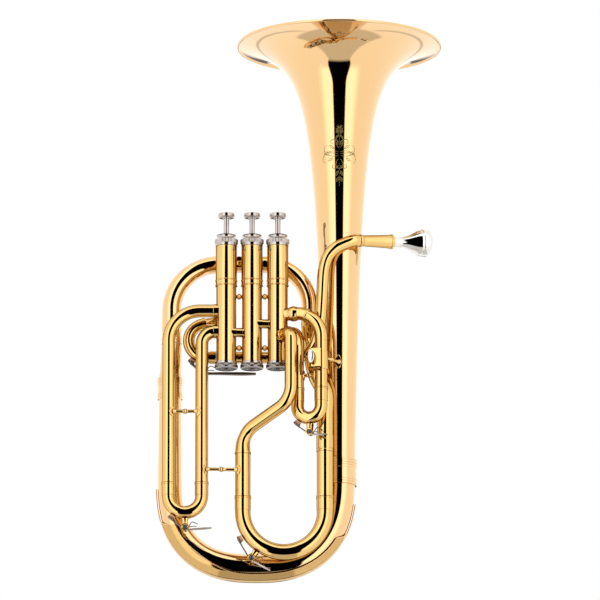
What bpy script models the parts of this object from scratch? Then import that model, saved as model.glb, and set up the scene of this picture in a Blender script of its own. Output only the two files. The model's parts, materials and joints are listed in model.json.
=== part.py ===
"""Alto horn with three piston valves, bell up, at real size.

X runs to the right as the valves face the viewer, Y away from the viewer, Z up. The origin is the lowest
point of the bottom bow's guard, where a stand's cradle holds the horn. Y = 0 is the plane of the bell, the
bottom bow and the left branch, and the valves stand in a plane in front of it. Sizes are in millimetres,
and MM turns them into metres. A depth is measured from the valves' plane, positive towards the bell.
"""

import math

import bmesh
import bpy
import numpy as np
from mathutils import Matrix, Quaternion, Vector

MM = 0.001
OBJECT_NAME = "alto_horn"

# Fits and walls
GAP = 0.3
SLIDE_GAP = 0.55
TUBE_WALL = 0.45
FERRULE_LIFT = 0.4
FERRULE_CHAMFER = 0.4

# Fineness of the facets
TUBE_RESOLUTION = 3
BEND_STEP = math.radians(30)
CHORD_TOLERANCE = 0.35
TURN_STEPS = 16
BELL_STEPS = 24

# Bell, whose radius falls with the root of the depth below its rim
BELL_X = 84.75
BELL_RIM_Z = 553.2
BELL_RIM_RADIUS = 103.5
BELL_FLARE_DEPTH = 10.4
BELL_FOOT_Z = 112.0
BELL_STATION_RATIO = 0.65
BELL_LAST_STATION = 6.0
BELL_WALL = 0.8
RIM_BEAD_RADIUS = 1.5
RIM_FLAT_WIDTH = 1.2

# Bottom bow, left branch and top bow
BOW_CENTRE_Z = 102.6
BOW_SQUARENESS = 2.5
BOW_POINTS = 14
BOW_LEFT_TOP_Z = 198.4
BRANCH_LOW_RADIUS = 11.2
BRANCH_TOP_Z = 244.0
BRANCH_TOP_X = -83.3
BRANCH_TOP_RADIUS = 10.3
BRANCH_UPRIGHT = 3.0
GUARD_THICKNESS = 0.7
GUARD_HALF_ANGLES = (math.radians(52), math.radians(82))
GUARD_WIDENING = (0.48, 0.72)
GUARD_TIP_HALF_ANGLE = math.radians(8)
GUARD_SPAN = (math.radians(9.8), math.radians(177.5))
GUARD_RIBS = 8
GUARD_STAND_OFF = 0.55
GUARD_TONGUE = (0.10, 0.15)
GUARD_TAPER_ROWS = 6
BELL_FERRULE_LENGTH = 27.0
BRANCH_FERRULE_LENGTH = 22.0
MAIN_FERRULE_WALL = 0.7
FERRULE_EASE = 0.4
TOP_BOW_Z = 326.9
TOP_BOW_X = (-83.3, 54.75)
TOP_BOW_BENDS = (48.0, 44.0)
TOP_BOW_RADIUS = 8.35
TOP_BOW_END_Z = 268.0

# Valves
VALVE_DEPTH_BEFORE_BELL = 28.0
VALVE_MIDDLE_X = -2.75
VALVE_SPACING = 25.7
CASING_RADIUS = 10.0
CASING_WALL = 0.7
CASING_BOTTOM_Z = 214.0
CASING_TOP_Z = 343.0
UPPER_BARREL_RADIUS = 10.6
UPPER_BARREL_TOP_Z = 337.8
SEAT_Z = 297.0
SEAT_THICKNESS = 3.0
SEAT_RING_HEIGHT = 6.0
SEAT_RING_LIFT = 0.6
SEAT_BORE_RADIUS = 5.6
NECK_RADIUS = 10.2
PORT_RADIUS = 4.4
CAP_WALL = 1.0
CAP_FLOOR = 1.5
CAP_VENT_RADIUS = 2.0
BOTTOM_CAP_TOP_Z = 219.0
BOTTOM_CAP_GRIP = 2.6
BOTTOM_CAP_GRIP_LIFT = 0.7
TOP_CAP_RING_HEIGHT = 10.0
TOP_CAP_DOME_HEIGHT = 2.2
TOP_CAP_GRIP = (2.4, 6.4)
PISTON_BOTTOM_Z = 229.5
PISTON_ROD_RADIUS = 4.5
PISTON_ROD_TOP_Z = 330.0
PISTON_TRAVEL = 14.5
PASSAGE_RADIUS = 3.4
STEM_RADIUS = 2.85
STEM_COLLAR_Z = (336.0, 338.0)
BUTTON_RADIUS = 8.5
BUTTON_THICKNESS = 4.2
BUTTON_UNDERSIDE_Z = 367.8
SPRING_RADIUS = 7.2
SPRING_WIRE_RADIUS = 0.45
SPRING_TURNS = 4
SPRING_POINTS_PER_TURN = 8
KNUCKLE_RADIUS = 4.6
KNUCKLE_DEPTHS = (-4.3, -0.8)
KNUCKLE_Z = (257.9, 249.0)

# Slides: joint is where the moving bow meets the fixed tubes
SLIDE_TUBE_RADIUS = 6.4
SECOND_SLIDE_Z = (268.0, 243.0)
SECOND_SLIDE_JOINT_DEPTH = 31.0
SECOND_SLIDE_STRAIGHT = 5.0
SECOND_SLIDE_INNER = 16.0
THIRD_SLIDE_X = (-85.75, -52.75)
THIRD_SLIDE_JOINT_Z = 95.3
THIRD_SLIDE_STRAIGHT = 13.5
THIRD_SLIDE_INNER = 120.0
THIRD_UPPER_Z = 271.9
THIRD_UPPER_BEND = 31.0
THIRD_LOWER_Z = 250.7
THIRD_LOWER_BEND = 13.0
FIRST_SLIDE_X = (42.75, 66.25)
FIRST_SLIDE_DEPTHS = (-6.0, -12.4)
FIRST_SLIDE_TOP_Z = 232.4
FIRST_SLIDE_JOINT_Z = 190.2
FIRST_SLIDE_STRAIGHT = 18.2
FIRST_SLIDE_INNER = 34.0
FIRST_UPPER_Z = 267.8
FIRST_UPPER_BEND = 26.0
FIRST_LOWER_Z = 250.0
FIRST_LOWER_ANGLE = math.radians(15)
FIRST_LOWER_STRAIGHT = 1.9
FIRST_LOWER_VIA = ((-2.2, 8.0, 15.6), (0.0, 3.6, 8.4))
TUNING_SLIDE_X = (-11.75, 70.25)
TUNING_SLIDE_DEPTH = 3.2
TUNING_LEFT_RADIUS = 7.65
TUNING_RIGHT_RADIUS = 8.3
TUNING_JOINT_Z = 81.5
TUNING_STRAIGHT = 15.0
TUNING_INNER = 40.0
TUNING_LEFT_TOP_Z = 125.3
TUNING_RIGHT_TOP_Z = 127.5
RETURN_FERRULE_TOP_Z = 144.0
RETURN_UPRIGHT = 3.0
RETURN_LOW_STRAIGHT = 22.0
RETURN_HEIGHTS = (248.0, 230.0, 208.0, 188.0)
RETURN_CLEARANCES = (1.7, 1.2, 1.8, 2.0)
RETURN_ANGLES = tuple(math.radians(angle) for angle in (183, 189, 214, 238))
BOW_FERRULE_LENGTH = 13.5

# Outlet of the first valve, which leads to the main tuning slide
OUTLET_RADIUS = 6.4
OUTLET_PORT_Z = 245.0
OUTLET_X = 36.25
OUTLET_DEPTH = -22.5
OUTLET_TOP_BEND = 9.0
OUTLET_LOWER_Z = 175.6
OUTLET_JOIN_Z = 147.0
OUTLET_SIDE_BEND = 24.0

# Leadpipe, receiver and mouthpiece
LEADPIPE_RADIUS = 5.8
LEADPIPE_RUN_Z = 227.9
LEADPIPE_STRAIGHT = 1.5
LEADPIPE_LEAD = 6.5
LEADPIPE_HEIGHTS = (341.4, 336.8, 329.0, 319.8, 308.0, 287.0, 263.0, 241.5, 230.5)
LEADPIPE_CLEARANCES = (2.2, 2.6, 4.3, 5.8, 6.3, 6.0, 5.5, 7.8, 13.6)
LEADPIPE_ANGLES = tuple(math.radians(angle) for angle in (280.5, 263.6, 250.3, 243.8, 240.1, 236.6, 230.7, 222.5, 211))
LEADPIPE_TURN_END = (9.5, -3.4, 0.0)
LOOP_X = -48.75
LOOP_BEND = 17.3
LOOP_END_Z = 261.5
RECEIVER_X = 104.5
RECEIVER_BELL_CLEARANCE = 4.3
RECEIVER_Z = 344.9
RECEIVER_RISE = math.radians(4.4)
RECEIVER_SWEEP = math.radians(25)
RECEIVER_LENGTH = 36.8
RECEIVER_SMALL_RADIUS = 5.5
RECEIVER_LARGE_RADIUS = 6.9
RECEIVER_RING_WIDTH = 2.5
SHANK_INSERTION = 25.0
SHANK_TIP_RADIUS = 4.0
SHANK_MOUTH_RADIUS = 5.0
MOUTHPIECE_LENGTH = 64.5
MOUTHPIECE_RIM_RADIUS = 14.1
MOUTHPIECE_CUP_RADIUS = 9.0
MOUTHPIECE_THROAT_RADIUS = 2.0

# Braces, water keys and lyre holder
BRACE_ROD_RADIUS = 1.9
BRACE_BEAD_RADIUS = 2.8
BRACE_FLANGE_RADIUS = 4.2
BRACE_FLANGE_THICKNESS = 2.2
BRACE_SEAT = 3.0
BRACE_CUTTER_REACH = 12.0
BRACE_FORWARD = 4.3
THIRD_BRACE_Z = 167.8
TUNING_BRACE_Z = 108.6
FIRST_BRACE_Z = 203.5
BELL_BRACE_Z = 222.0
BELL_BRACE_SIDE = -1.2
KEY_WIRE_RADIUS = 1.0
KEY_BARREL_RADIUS = 2.0
KEY_BARREL_LENGTH = 5.0
KEY_CORK_RADIUS = 3.0
KEY_CORK_HEIGHT = 4.0
KEY_CORK_SEAT = 3.0
SADDLE_WIDTH = 4.0
SADDLE_LUG = 1.6
SADDLE_OVERHANG = 2.4
SADDLE_FLOOR_GAP = 1.0
KEY_PIVOT_LIFT = (8.6, 8.0, 9.4, 8.6)
KEY_PIVOT_ANGLE = tuple(math.radians(angle) for angle in (-88.3, -124.5, -90, -96))
KEY_CORK_TURN = tuple(math.radians(angle) for angle in (37.7, 23, 32, 28))
KEY_TOUCH = ((18.0, -3.0), (20.5, -14.1), (26.5, 0.0), (53.3, -4.4))
LYRE_X = 61.6
LYRE_Z = 217.9
LYRE_SIZE = (10.6, 8.4, 19.0)
LYRE_SLOT = (6.6, 5.4)
SCREW_TURN = math.radians(-30)
SCREW_SIDE = -0.8
SCREW_HEAD_RADIUS = 4.6
SCREW_HEAD_THICKNESS = 4.0
SCREW_SHAFT_RADIUS = 1.6
SCREW_STAND_OFF = 3.0

VALVE_Y = -VALVE_DEPTH_BEFORE_BELL
VALVE_X = tuple(VALVE_MIDDLE_X + VALVE_SPACING * side for side in (1, 0, -1))
INNER_STEP = TUBE_WALL + SLIDE_GAP

for leftover in list(bpy.data.objects):
    bpy.data.objects.remove(leftover, do_unlink=True)


def new_collection(name):
    collection = bpy.data.collections.new(name)
    bpy.context.scene.collection.children.link(collection)
    return collection


PARTS = new_collection(OBJECT_NAME)
CUTTERS = new_collection(OBJECT_NAME + "_cutters")


def new_material(name, colour, metallic, roughness):
    material = bpy.data.materials.new(name)
    material.use_nodes = True
    shader = material.node_tree.nodes["Principled BSDF"]
    shader.inputs["Base Color"].default_value = (*colour, 1.0)
    shader.inputs["Metallic"].default_value = metallic
    shader.inputs["Roughness"].default_value = roughness
    material.diffuse_color = (*colour, 1.0)
    return material


BRASS = new_material("lacquered_brass", (0.83, 0.56, 0.21), 1.0, 0.15)
SILVER = new_material("nickel_silver", (0.72, 0.71, 0.70), 1.0, 0.18)
STEEL = new_material("dark_steel", (0.23, 0.21, 0.20), 1.0, 0.35)


# Placing and joining


def at(x, depth, z):
    """A point by its depth from the valves' plane."""
    return Vector((x, VALVE_Y + depth, z))


def place(name, data, look, origin=(0, 0, 0)):
    """A new object of the horn, with its origin at a point in millimetres."""
    data.materials.append(look)
    thing = bpy.data.objects.new(name, data)
    thing.location = Vector(origin) * MM
    PARTS.objects.link(thing)
    return thing


def new_cutter(name, shape):
    """A hidden object that only cuts or joins others, from a shape that is freed."""
    mesh = bpy.data.meshes.new(name)
    shape.to_mesh(mesh)
    shape.free()
    thing = bpy.data.objects.new(name, mesh)
    CUTTERS.objects.link(thing)
    thing.hide_render = True
    thing.display_type = "WIRE"
    return thing


def smooth(thing, sharp_angle=40):
    thing.data.shade_smooth()
    thing.data.set_sharp_from_angle(angle=math.radians(sharp_angle))
    return thing


def boolean(thing, cutter, operation="DIFFERENCE"):
    modifier = thing.modifiers.new(operation.lower() + "_" + cutter.name, "BOOLEAN")
    modifier.operation = operation
    modifier.object = cutter
    modifier.solver = "EXACT"
    return thing


def facing(axis):
    """The turn that takes Z to an axis."""
    return Vector((0, 0, 1)).rotation_difference(Vector(axis))


def cylinder(name, start, end, radius, sides=12):
    """A closed cylinder between two points in millimetres, for cutting or joining."""
    start, end = Vector(start), Vector(end)
    shape = bmesh.new()
    size = {"radius1": radius * MM, "radius2": radius * MM, "depth": (end - start).length * MM}
    bmesh.ops.create_cone(shape, cap_ends=True, segments=sides, **size)
    turn = facing((end - start).normalized()).to_matrix().to_4x4()
    shape.transform(Matrix.Translation((start + end) / 2 * MM) @ turn)
    return new_cutter(name, shape)


def block(name, centre, size, turn=None):
    """A closed box about a point in millimetres, turned by a quaternion."""
    shape = bmesh.new()
    bmesh.ops.create_cube(shape, size=1.0)
    shape.transform(Matrix.Diagonal((*(Vector(size) * MM), 1.0)))
    if turn is not None:
        shape.transform(turn.to_matrix().to_4x4())
    shape.transform(Matrix.Translation(Vector(centre) * MM))
    return new_cutter(name, shape)


def solid_block(name, centre, size, turn=None):
    """A box that is one of the horn's own pieces."""
    thing = block(name, centre, size, turn)
    CUTTERS.objects.unlink(thing)
    PARTS.objects.link(thing)
    thing.hide_render = False
    thing.display_type = "TEXTURED"
    thing.data.materials.append(BRASS)
    return thing


# Routes and tubes


def filleted(corners):
    """Points along straight runs joined by arcs. Each corner is a point and its bend radius."""
    points = [Vector(corners[0][0])]
    for before, corner, after in zip(corners, corners[1:], corners[2:]):
        middle, radius = Vector(corner[0]), corner[1]
        into = (middle - Vector(before[0])).normalized()
        out = (Vector(after[0]) - middle).normalized()
        turn = into.angle(out)
        start = middle - into * radius * math.tan(turn / 2)
        centre = middle + (out - into).normalized() * radius / math.cos(turn / 2)
        axis = into.cross(out).normalized()
        steps = max(2, math.ceil(turn / BEND_STEP))
        for step in range(steps + 1):
            point = centre + Quaternion(axis, turn * step / steps) @ (start - centre)
            if (point - points[-1]).length > 0.01:
                points.append(point)
    points.append(Vector(corners[-1][0]))
    return points


def flowing(points, steps=4):
    """Points along a smooth curve through all the given ones, as few as its bends need."""
    points = [Vector(point) for point in points]
    ends = [2 * points[0] - points[1], *points, 2 * points[-1] - points[-2]]
    route = []
    for p0, p1, p2, p3 in zip(ends, ends[1:], ends[2:], ends[3:]):
        for step in range(steps):
            t = step / steps
            route.append(
                0.5 * (2 * p1 + (p2 - p0) * t + (2 * p0 - 5 * p1 + 4 * p2 - p3) * t**2)
                + 0.5 * (3 * p1 - p0 - 3 * p2 + p3) * t**3
            )
    route.append(points[-1])
    return thinned(route)


def thinned(route):
    """The same route with only the points it needs to stay within the tolerance."""
    if len(route) < 3:
        return route
    chord = (route[-1] - route[0]).normalized()
    strays = [((point - route[0]) - chord * (point - route[0]).dot(chord)).length for point in route]
    worst = max(range(len(route)), key=strays.__getitem__)
    if strays[worst] < CHORD_TOLERANCE:
        return [route[0], route[-1]]
    return thinned(route[: worst + 1])[:-1] + thinned(route[worst:])


def with_radii(route, profile):
    """The route's points and radii, with a point wherever the profile of (distance, radius) changes."""
    route = np.array([tuple(point) for point in route])
    along = np.concatenate([[0.0], np.cumsum(np.linalg.norm(np.diff(route, axis=0), axis=1))])
    total = along[-1]
    marks = [(distance if distance >= 0 else total + distance, radius) for distance, radius in profile]
    extra = [distance for distance, _ in marks if 0.05 < distance < total - 0.05]
    kept = [distance for distance in along[1:-1] if all(abs(distance - other) > 0.3 for other in extra)]
    stations = np.array(sorted([0.0, total, *kept, *extra]))
    points = np.stack([np.interp(stations, along, route[:, axis]) for axis in range(3)], axis=1)
    radii = np.interp(stations, [mark[0] for mark in marks], [mark[1] for mark in marks])
    return points, radii


def sweep(name, points, radii, look, origin=(0, 0, 0), resolution=TUBE_RESOLUTION, capped=False):
    """A round tube or wire along points in millimetres."""
    curve = bpy.data.curves.new(name, "CURVE")
    curve.dimensions = "3D"
    curve.bevel_depth = MM
    curve.bevel_resolution = resolution
    curve.use_fill_caps = capped
    spline = curve.splines.new("POLY")
    spline.points.add(len(points) - 1)
    for knot, point, radius in zip(spline.points, points, radii):
        knot.co = (*((Vector(point) - Vector(origin)) * MM), 1.0)
        knot.radius = float(radius)
    return place(name, curve, look, origin)


def as_mesh(thing):
    """The same object as a mesh, with a curve's caps welded."""
    bpy.context.view_layer.update()
    mesh = bpy.data.meshes.new_from_object(thing.evaluated_get(bpy.context.evaluated_depsgraph_get()))
    shape = bmesh.new()
    shape.from_mesh(mesh)
    bmesh.ops.remove_doubles(shape, verts=shape.verts, dist=0.01 * MM)
    shape.to_mesh(mesh)
    shape.free()
    name, collections = thing.name, list(thing.users_collection)
    placing = thing.matrix_world.copy()
    bpy.data.objects.remove(thing, do_unlink=True)
    made = bpy.data.objects.new(name, mesh)
    made.matrix_world = placing
    for collection in collections:
        collection.objects.link(made)
    return made


def hollow(thing, wall=TUBE_WALL):
    """Gives an open surface its wall, on the inside."""
    shell = thing.modifiers.new("wall", "SOLIDIFY")
    shell.thickness = wall * MM
    shell.offset = -1.0
    return thing


def tube(name, route, profile, look=BRASS, origin=(0, 0, 0), wall=TUBE_WALL, cutters=()):
    """A hollow tube along a route, coped to its neighbours by cutters."""
    points, radii = with_radii(route, profile)
    made = hollow(sweep(name, points, radii, look, origin), wall)
    if cutters:
        made = as_mesh(made)
        for cutter in cutters:
            boolean(made, cutter)
    return made


def turned(name, profile, look, origin=(0, 0, 0), axis=(0, 0, 1), steps=TURN_STEPS, closed=True):
    """A turned piece: a profile of (radius, height) that runs down its outer side, spun about an axis."""
    mesh = bpy.data.meshes.new(name)
    edges = [(i, i + 1) for i in range(len(profile) - 1)]
    if closed:
        edges.append((len(profile) - 1, 0))
    mesh.from_pydata([(radius * MM, 0.0, height * MM) for radius, height in profile], edges, [])
    made = place(name, mesh, look, origin)
    made.rotation_mode = "QUATERNION"
    made.rotation_quaternion = facing(axis)
    screw = made.modifiers.new("spin", "SCREW")
    screw.axis = "Z"
    screw.angle = 2 * math.pi
    screw.steps = steps
    screw.render_steps = steps
    screw.use_merge_vertices = True
    screw.merge_threshold = 0.001 * MM
    screw.use_smooth_shade = True
    return made


def ferrule_at_end(radius, length):
    """A tube's radii with a ferrule on its far end."""
    thick = radius + FERRULE_LIFT
    return [(0, radius), (-length - FERRULE_CHAMFER, radius), (-length, thick), (-0.01, thick)]


# Bell, bottom bow, branch and top bow


def bell_radius(z):
    return BELL_RIM_RADIUS * math.sqrt(BELL_FLARE_DEPTH / (BELL_RIM_Z - z + BELL_FLARE_DEPTH))


def round_bell(radius, path):
    """Points of a tube that passes the bell, from (height, angle round the bell, clearance) of each."""
    points = []
    for z, angle, clearance in path:
        reach = bell_radius(z) + radius + clearance
        points.append(Vector((BELL_X + math.cos(angle) * reach, math.sin(angle) * reach, z)))
    return points


def make_bell():
    """The bell, with a wire bead rolled into its rim and flat on top."""
    depths = [BELL_RIM_Z - BELL_FOOT_Z]
    while depths[-1] > BELL_LAST_STATION:
        depths.append(depths[-1] * BELL_STATION_RATIO)
    outer = [(bell_radius(BELL_RIM_Z - depth), BELL_RIM_Z - depth) for depth in reversed(depths)]
    inner = [(radius - BELL_WALL, z) for radius, z in reversed(outer)]
    edge = BELL_RIM_RADIUS - RIM_BEAD_RADIUS
    flat = RIM_FLAT_WIDTH / 2
    bead = [
        (edge - flat, BELL_RIM_Z + RIM_BEAD_RADIUS),
        (edge + flat, BELL_RIM_Z + RIM_BEAD_RADIUS),
        (BELL_RIM_RADIUS, BELL_RIM_Z + flat),
        (BELL_RIM_RADIUS, BELL_RIM_Z - flat),
        (edge + flat, BELL_RIM_Z - RIM_BEAD_RADIUS),
    ]
    lip = (edge - RIM_BEAD_RADIUS, BELL_RIM_Z)
    turned("bell", [*bead, *outer, *inner, lip], BRASS, (BELL_X, 0, 0), steps=BELL_STEPS)


def bow_point(turn):
    """A point on the bottom bow's centreline: 0 at the bell's side, pi at the left branch."""
    power = 2 / BOW_SQUARENESS
    across = math.copysign(abs(math.cos(turn)) ** power, math.cos(turn))
    return Vector((BELL_X * across, 0, BOW_CENTRE_Z - bow_drop() * abs(math.sin(turn)) ** power))


def bow_drop():
    """How far the bow's centreline dips, so that the guard's lowest point is at the origin."""
    return BOW_CENTRE_Z - bow_middle_radius() - GAP - GUARD_STAND_OFF - GUARD_THICKNESS


def bow_middle_radius():
    return 0.55 * bell_radius(BELL_FOOT_Z) + 0.45 * BRANCH_LOW_RADIUS


def bow_radius(turn):
    """The bow's radius, which narrows from the bell's foot through its lowest point to the left branch."""
    low = bow_middle_radius()
    start, end = bell_radius(BELL_FOOT_Z), BRANCH_LOW_RADIUS + 0.9
    half = math.pi / 2
    if turn < half:
        return start + (low - start) * turn / half
    return low + (end - low) * (turn - half) / half


def bow_turns():
    return [math.pi * step / BOW_POINTS for step in range(BOW_POINTS + 1)]


def make_bottom_bow():
    turns = bow_turns()
    points = [Vector((BELL_X, 0, BELL_FOOT_Z - GAP)), *(bow_point(turn) for turn in turns)]
    points.append(Vector((-BELL_X, 0, BOW_LEFT_TOP_Z)))
    radii = [bell_radius(BELL_FOOT_Z), *(bow_radius(turn) for turn in turns), BRANCH_LOW_RADIUS]
    hollow(sweep("bottom_bow", points, radii, BRASS, resolution=4))


def eased(value, low, high):
    """0 up to low and 1 from high, with a smooth rise between them."""
    share = max(0.0, min(1.0, (value - low) / (high - low)))
    return share * share * (3 - 2 * share)


def guard_half_angle(share):
    """How far the guard reaches round the bow: wider towards the branch, a narrow tongue at both ends."""
    bell_side, branch_side = GUARD_HALF_ANGLES
    full = bell_side + (branch_side - bell_side) * eased(share, *GUARD_WIDENING)
    fullness = eased(min(share, 1 - share), *GUARD_TONGUE)
    return GUARD_TIP_HALF_ANGLE + (full - GUARD_TIP_HALF_ANGLE) * fullness


def in_taper(share):
    return GUARD_TONGUE[0] <= min(share, 1 - share) <= GUARD_TONGUE[1]


def make_bow_guard():
    """A sheet guard soldered round the outside of the bow, narrowing to a tongue at both ends."""
    shape = bmesh.new()
    rows = []
    first, last = GUARD_SPAN
    tapers = [share for near in np.linspace(*GUARD_TONGUE, GUARD_TAPER_ROWS) for share in (near, 1 - near)]
    plain = [turn for turn in bow_turns() if first < turn < last and not in_taper((turn - first) / (last - first))]
    turns = sorted([first, last, *plain, *(first + (last - first) * share for share in tapers)])
    for turn in turns:
        share = (turn - first) / (last - first)
        centre = bow_point(turn)
        along = (bow_point(turn + 0.01) - bow_point(turn - 0.01)).normalized()
        outward = along.cross(Vector((0, 1, 0)))
        if outward.dot(centre - Vector((0, 0, BOW_CENTRE_Z))) < 0:
            outward = -outward
        half = guard_half_angle(share)
        reach = bow_radius(turn) + GAP + GUARD_STAND_OFF
        row = []
        for rib in range(GUARD_RIBS + 1):
            angle = half * (2 * rib / GUARD_RIBS - 1)
            spread = outward * math.cos(angle) + Vector((0, 1, 0)) * math.sin(angle)
            row.append(shape.verts.new((centre + spread * reach) * MM))
        rows.append(row)
    for row, following in zip(rows, rows[1:]):
        for rib in range(GUARD_RIBS):
            shape.faces.new((row[rib], following[rib], following[rib + 1], row[rib + 1]))
    bmesh.ops.recalc_face_normals(shape, faces=shape.faces)
    shape.faces.ensure_lookup_table()
    middle = shape.faces[len(turns) // 2 * GUARD_RIBS]
    middle.normal_update()
    if middle.normal.z > 0:
        bmesh.ops.reverse_faces(shape, faces=shape.faces)
    mesh = bpy.data.meshes.new("bow_guard")
    shape.to_mesh(mesh)
    shape.free()
    guard = place("bow_guard", mesh, BRASS)
    sheet = guard.modifiers.new("sheet", "SOLIDIFY")
    sheet.thickness = GUARD_THICKNESS * MM
    sheet.offset = 1.0
    smooth(guard)


def make_ferrule(name, centre, length, inner_radius):
    """A plain sleeve with a raised band at both ends."""
    low, high = inner_radius + GAP, inner_radius + GAP + MAIN_FERRULE_WALL
    band = high + FERRULE_LIFT
    half = length / 2
    band_width = length / 5
    profile = [
        (low, half),
        (band, half),
        (band, half - band_width),
        (high, half - band_width - FERRULE_CHAMFER),
        (high, band_width + FERRULE_CHAMFER - half),
        (band, band_width - half),
        (band, -half),
        (low, -half),
    ]
    turned(name, profile, BRASS, centre, steps=BELL_STEPS)


def make_left_branch():
    """The branch rises from the bow to the top bow, leaning in a little."""
    foot = Vector((-BELL_X, 0, BOW_LEFT_TOP_Z + GAP))
    top = Vector((BRANCH_TOP_X, 0, BRANCH_TOP_Z - GAP))
    upright = Vector((0, 0, BRANCH_UPRIGHT))
    route = [foot, foot + upright, top - upright, top]
    tube("left_branch", route, [(0, BRANCH_LOW_RADIUS), (-0.01, BRANCH_TOP_RADIUS)])


def make_top_bow():
    """The bow that crosses behind the valves, with a ferrule on the branch."""
    left, right = TOP_BOW_X
    route = filleted(
        [
            ((BRANCH_TOP_X, 0, BRANCH_TOP_Z), 0),
            ((left, 0, TOP_BOW_Z), TOP_BOW_BENDS[0]),
            ((right, 0, TOP_BOW_Z), TOP_BOW_BENDS[1]),
            ((right, 0, TOP_BOW_END_Z), 0),
        ]
    )
    thick = BRANCH_TOP_RADIUS + FERRULE_LIFT
    profile = [
        (0, thick),
        (6, thick),
        (6 + FERRULE_CHAMFER, BRANCH_TOP_RADIUS - 0.1),
        (130, TOP_BOW_RADIUS),
        (-0.01, TOP_BOW_RADIUS),
    ]
    tube("top_bow", route, profile)


def make_return_tube():
    """From the top bow forward and down to the right leg of the main tuning slide."""
    right = TUNING_SLIDE_X[1]
    start = Vector((TOP_BOW_X[1], 0, TOP_BOW_END_Z - GAP))
    route = flowing(
        [
            start - Vector((0, 0, RETURN_UPRIGHT)),
            *round_bell(TUNING_RIGHT_RADIUS, zip(RETURN_HEIGHTS, RETURN_ANGLES, RETURN_CLEARANCES)),
            at(right, TUNING_SLIDE_DEPTH, RETURN_FERRULE_TOP_Z + RETURN_LOW_STRAIGHT),
            at(right, TUNING_SLIDE_DEPTH, RETURN_FERRULE_TOP_Z),
        ]
    )
    route = [start, *route, at(right, TUNING_SLIDE_DEPTH, TUNING_RIGHT_TOP_Z + GAP)]
    length = RETURN_FERRULE_TOP_Z - TUNING_RIGHT_TOP_Z
    tube("return_tube", route, ferrule_at_end(TUNING_RIGHT_RADIUS, length))


# Valves


def casing_cutter(number):
    x = VALVE_X[number - 1]
    return cylinder(
        f"casing_{number}_space", at(x, 0, CASING_BOTTOM_Z), at(x, 0, CASING_TOP_Z), CASING_RADIUS + GAP, 24
    )


def port_line(x, angle, z, depth=0.0):
    """A port's start at the casing's middle and its outward end, by angle from +X."""
    start = at(x, depth, z)
    return start, start + Vector((math.cos(angle), math.sin(angle), 0)) * (CASING_RADIUS + 4)


# For each valve: the ports of the open way, in and out, then the two of its slide, as angle, height and depth
PORTS = {
    3: (
        (math.radians(141), LOOP_END_Z, 0.0),
        (0.0, KNUCKLE_Z[1], KNUCKLE_DEPTHS[0]),
        (math.pi, THIRD_UPPER_Z, 0.0),
        (math.pi, THIRD_LOWER_Z, 0.0),
    ),
    2: (
        (math.pi, KNUCKLE_Z[1], KNUCKLE_DEPTHS[1]),
        (0.0, KNUCKLE_Z[0], KNUCKLE_DEPTHS[0]),
        (math.pi / 2, SECOND_SLIDE_Z[0], 0.0),
        (math.pi / 2, SECOND_SLIDE_Z[1], 0.0),
    ),
    1: (
        (math.pi, KNUCKLE_Z[0], KNUCKLE_DEPTHS[1]),
        (math.radians(-60), OUTLET_PORT_Z, 0.0),
        (math.atan2(FIRST_SLIDE_DEPTHS[1], FIRST_SLIDE_X[1] - VALVE_X[0]), FIRST_UPPER_Z, 0.0),
        (FIRST_LOWER_ANGLE, FIRST_LOWER_Z, 0.0),
    ),
}


def make_casing(number):
    """A casing with its ports, an inner seat for the spring and a wider upper barrel."""
    x = VALVE_X[number - 1]
    bore = CASING_RADIUS - CASING_WALL
    ring = UPPER_BARREL_RADIUS + SEAT_RING_LIFT
    profile = [
        (NECK_RADIUS, CASING_TOP_Z),
        (NECK_RADIUS, UPPER_BARREL_TOP_Z),
        (UPPER_BARREL_RADIUS, UPPER_BARREL_TOP_Z),
        (UPPER_BARREL_RADIUS, SEAT_Z + SEAT_RING_HEIGHT + FERRULE_CHAMFER),
        (ring, SEAT_Z + SEAT_RING_HEIGHT),
        (ring, SEAT_Z + FERRULE_CHAMFER),
        (CASING_RADIUS, SEAT_Z),
        (CASING_RADIUS, CASING_BOTTOM_Z),
        (bore, CASING_BOTTOM_Z),
        (bore, SEAT_Z),
        (SEAT_BORE_RADIUS, SEAT_Z),
        (SEAT_BORE_RADIUS, SEAT_Z + SEAT_THICKNESS),
        (NECK_RADIUS - CASING_WALL, SEAT_Z + SEAT_THICKNESS),
        (NECK_RADIUS - CASING_WALL, CASING_TOP_Z),
    ]
    casing = turned(f"valve_casing_{number}", profile, BRASS, at(x, 0, 0))
    for index, (angle, z, depth) in enumerate(PORTS[number]):
        start, end = port_line(x, angle, z, depth)
        boolean(casing, cylinder(f"casing_{number}_port_{index}", start, end, PORT_RADIUS, 10))


def make_bottom_cap(number):
    """A cap with a plain band above a wider grip."""
    inner = CASING_RADIUS + GAP
    band = inner + CAP_WALL - GAP
    grip = band + BOTTOM_CAP_GRIP_LIFT
    floor = CASING_BOTTOM_Z - GAP
    profile = [
        (band, BOTTOM_CAP_TOP_Z),
        (band, floor + BOTTOM_CAP_GRIP),
        (grip, floor + BOTTOM_CAP_GRIP - 0.3),
        (grip, floor - CAP_FLOOR + 0.8),
        (grip - 1.6, floor - CAP_FLOOR),
        (CAP_VENT_RADIUS, floor - CAP_FLOOR),
        (CAP_VENT_RADIUS, floor),
        (inner, floor),
        (inner, BOTTOM_CAP_TOP_Z),
    ]
    turned(f"bottom_cap_{number}", profile, SILVER, at(VALVE_X[number - 1], 0, 0))


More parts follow.
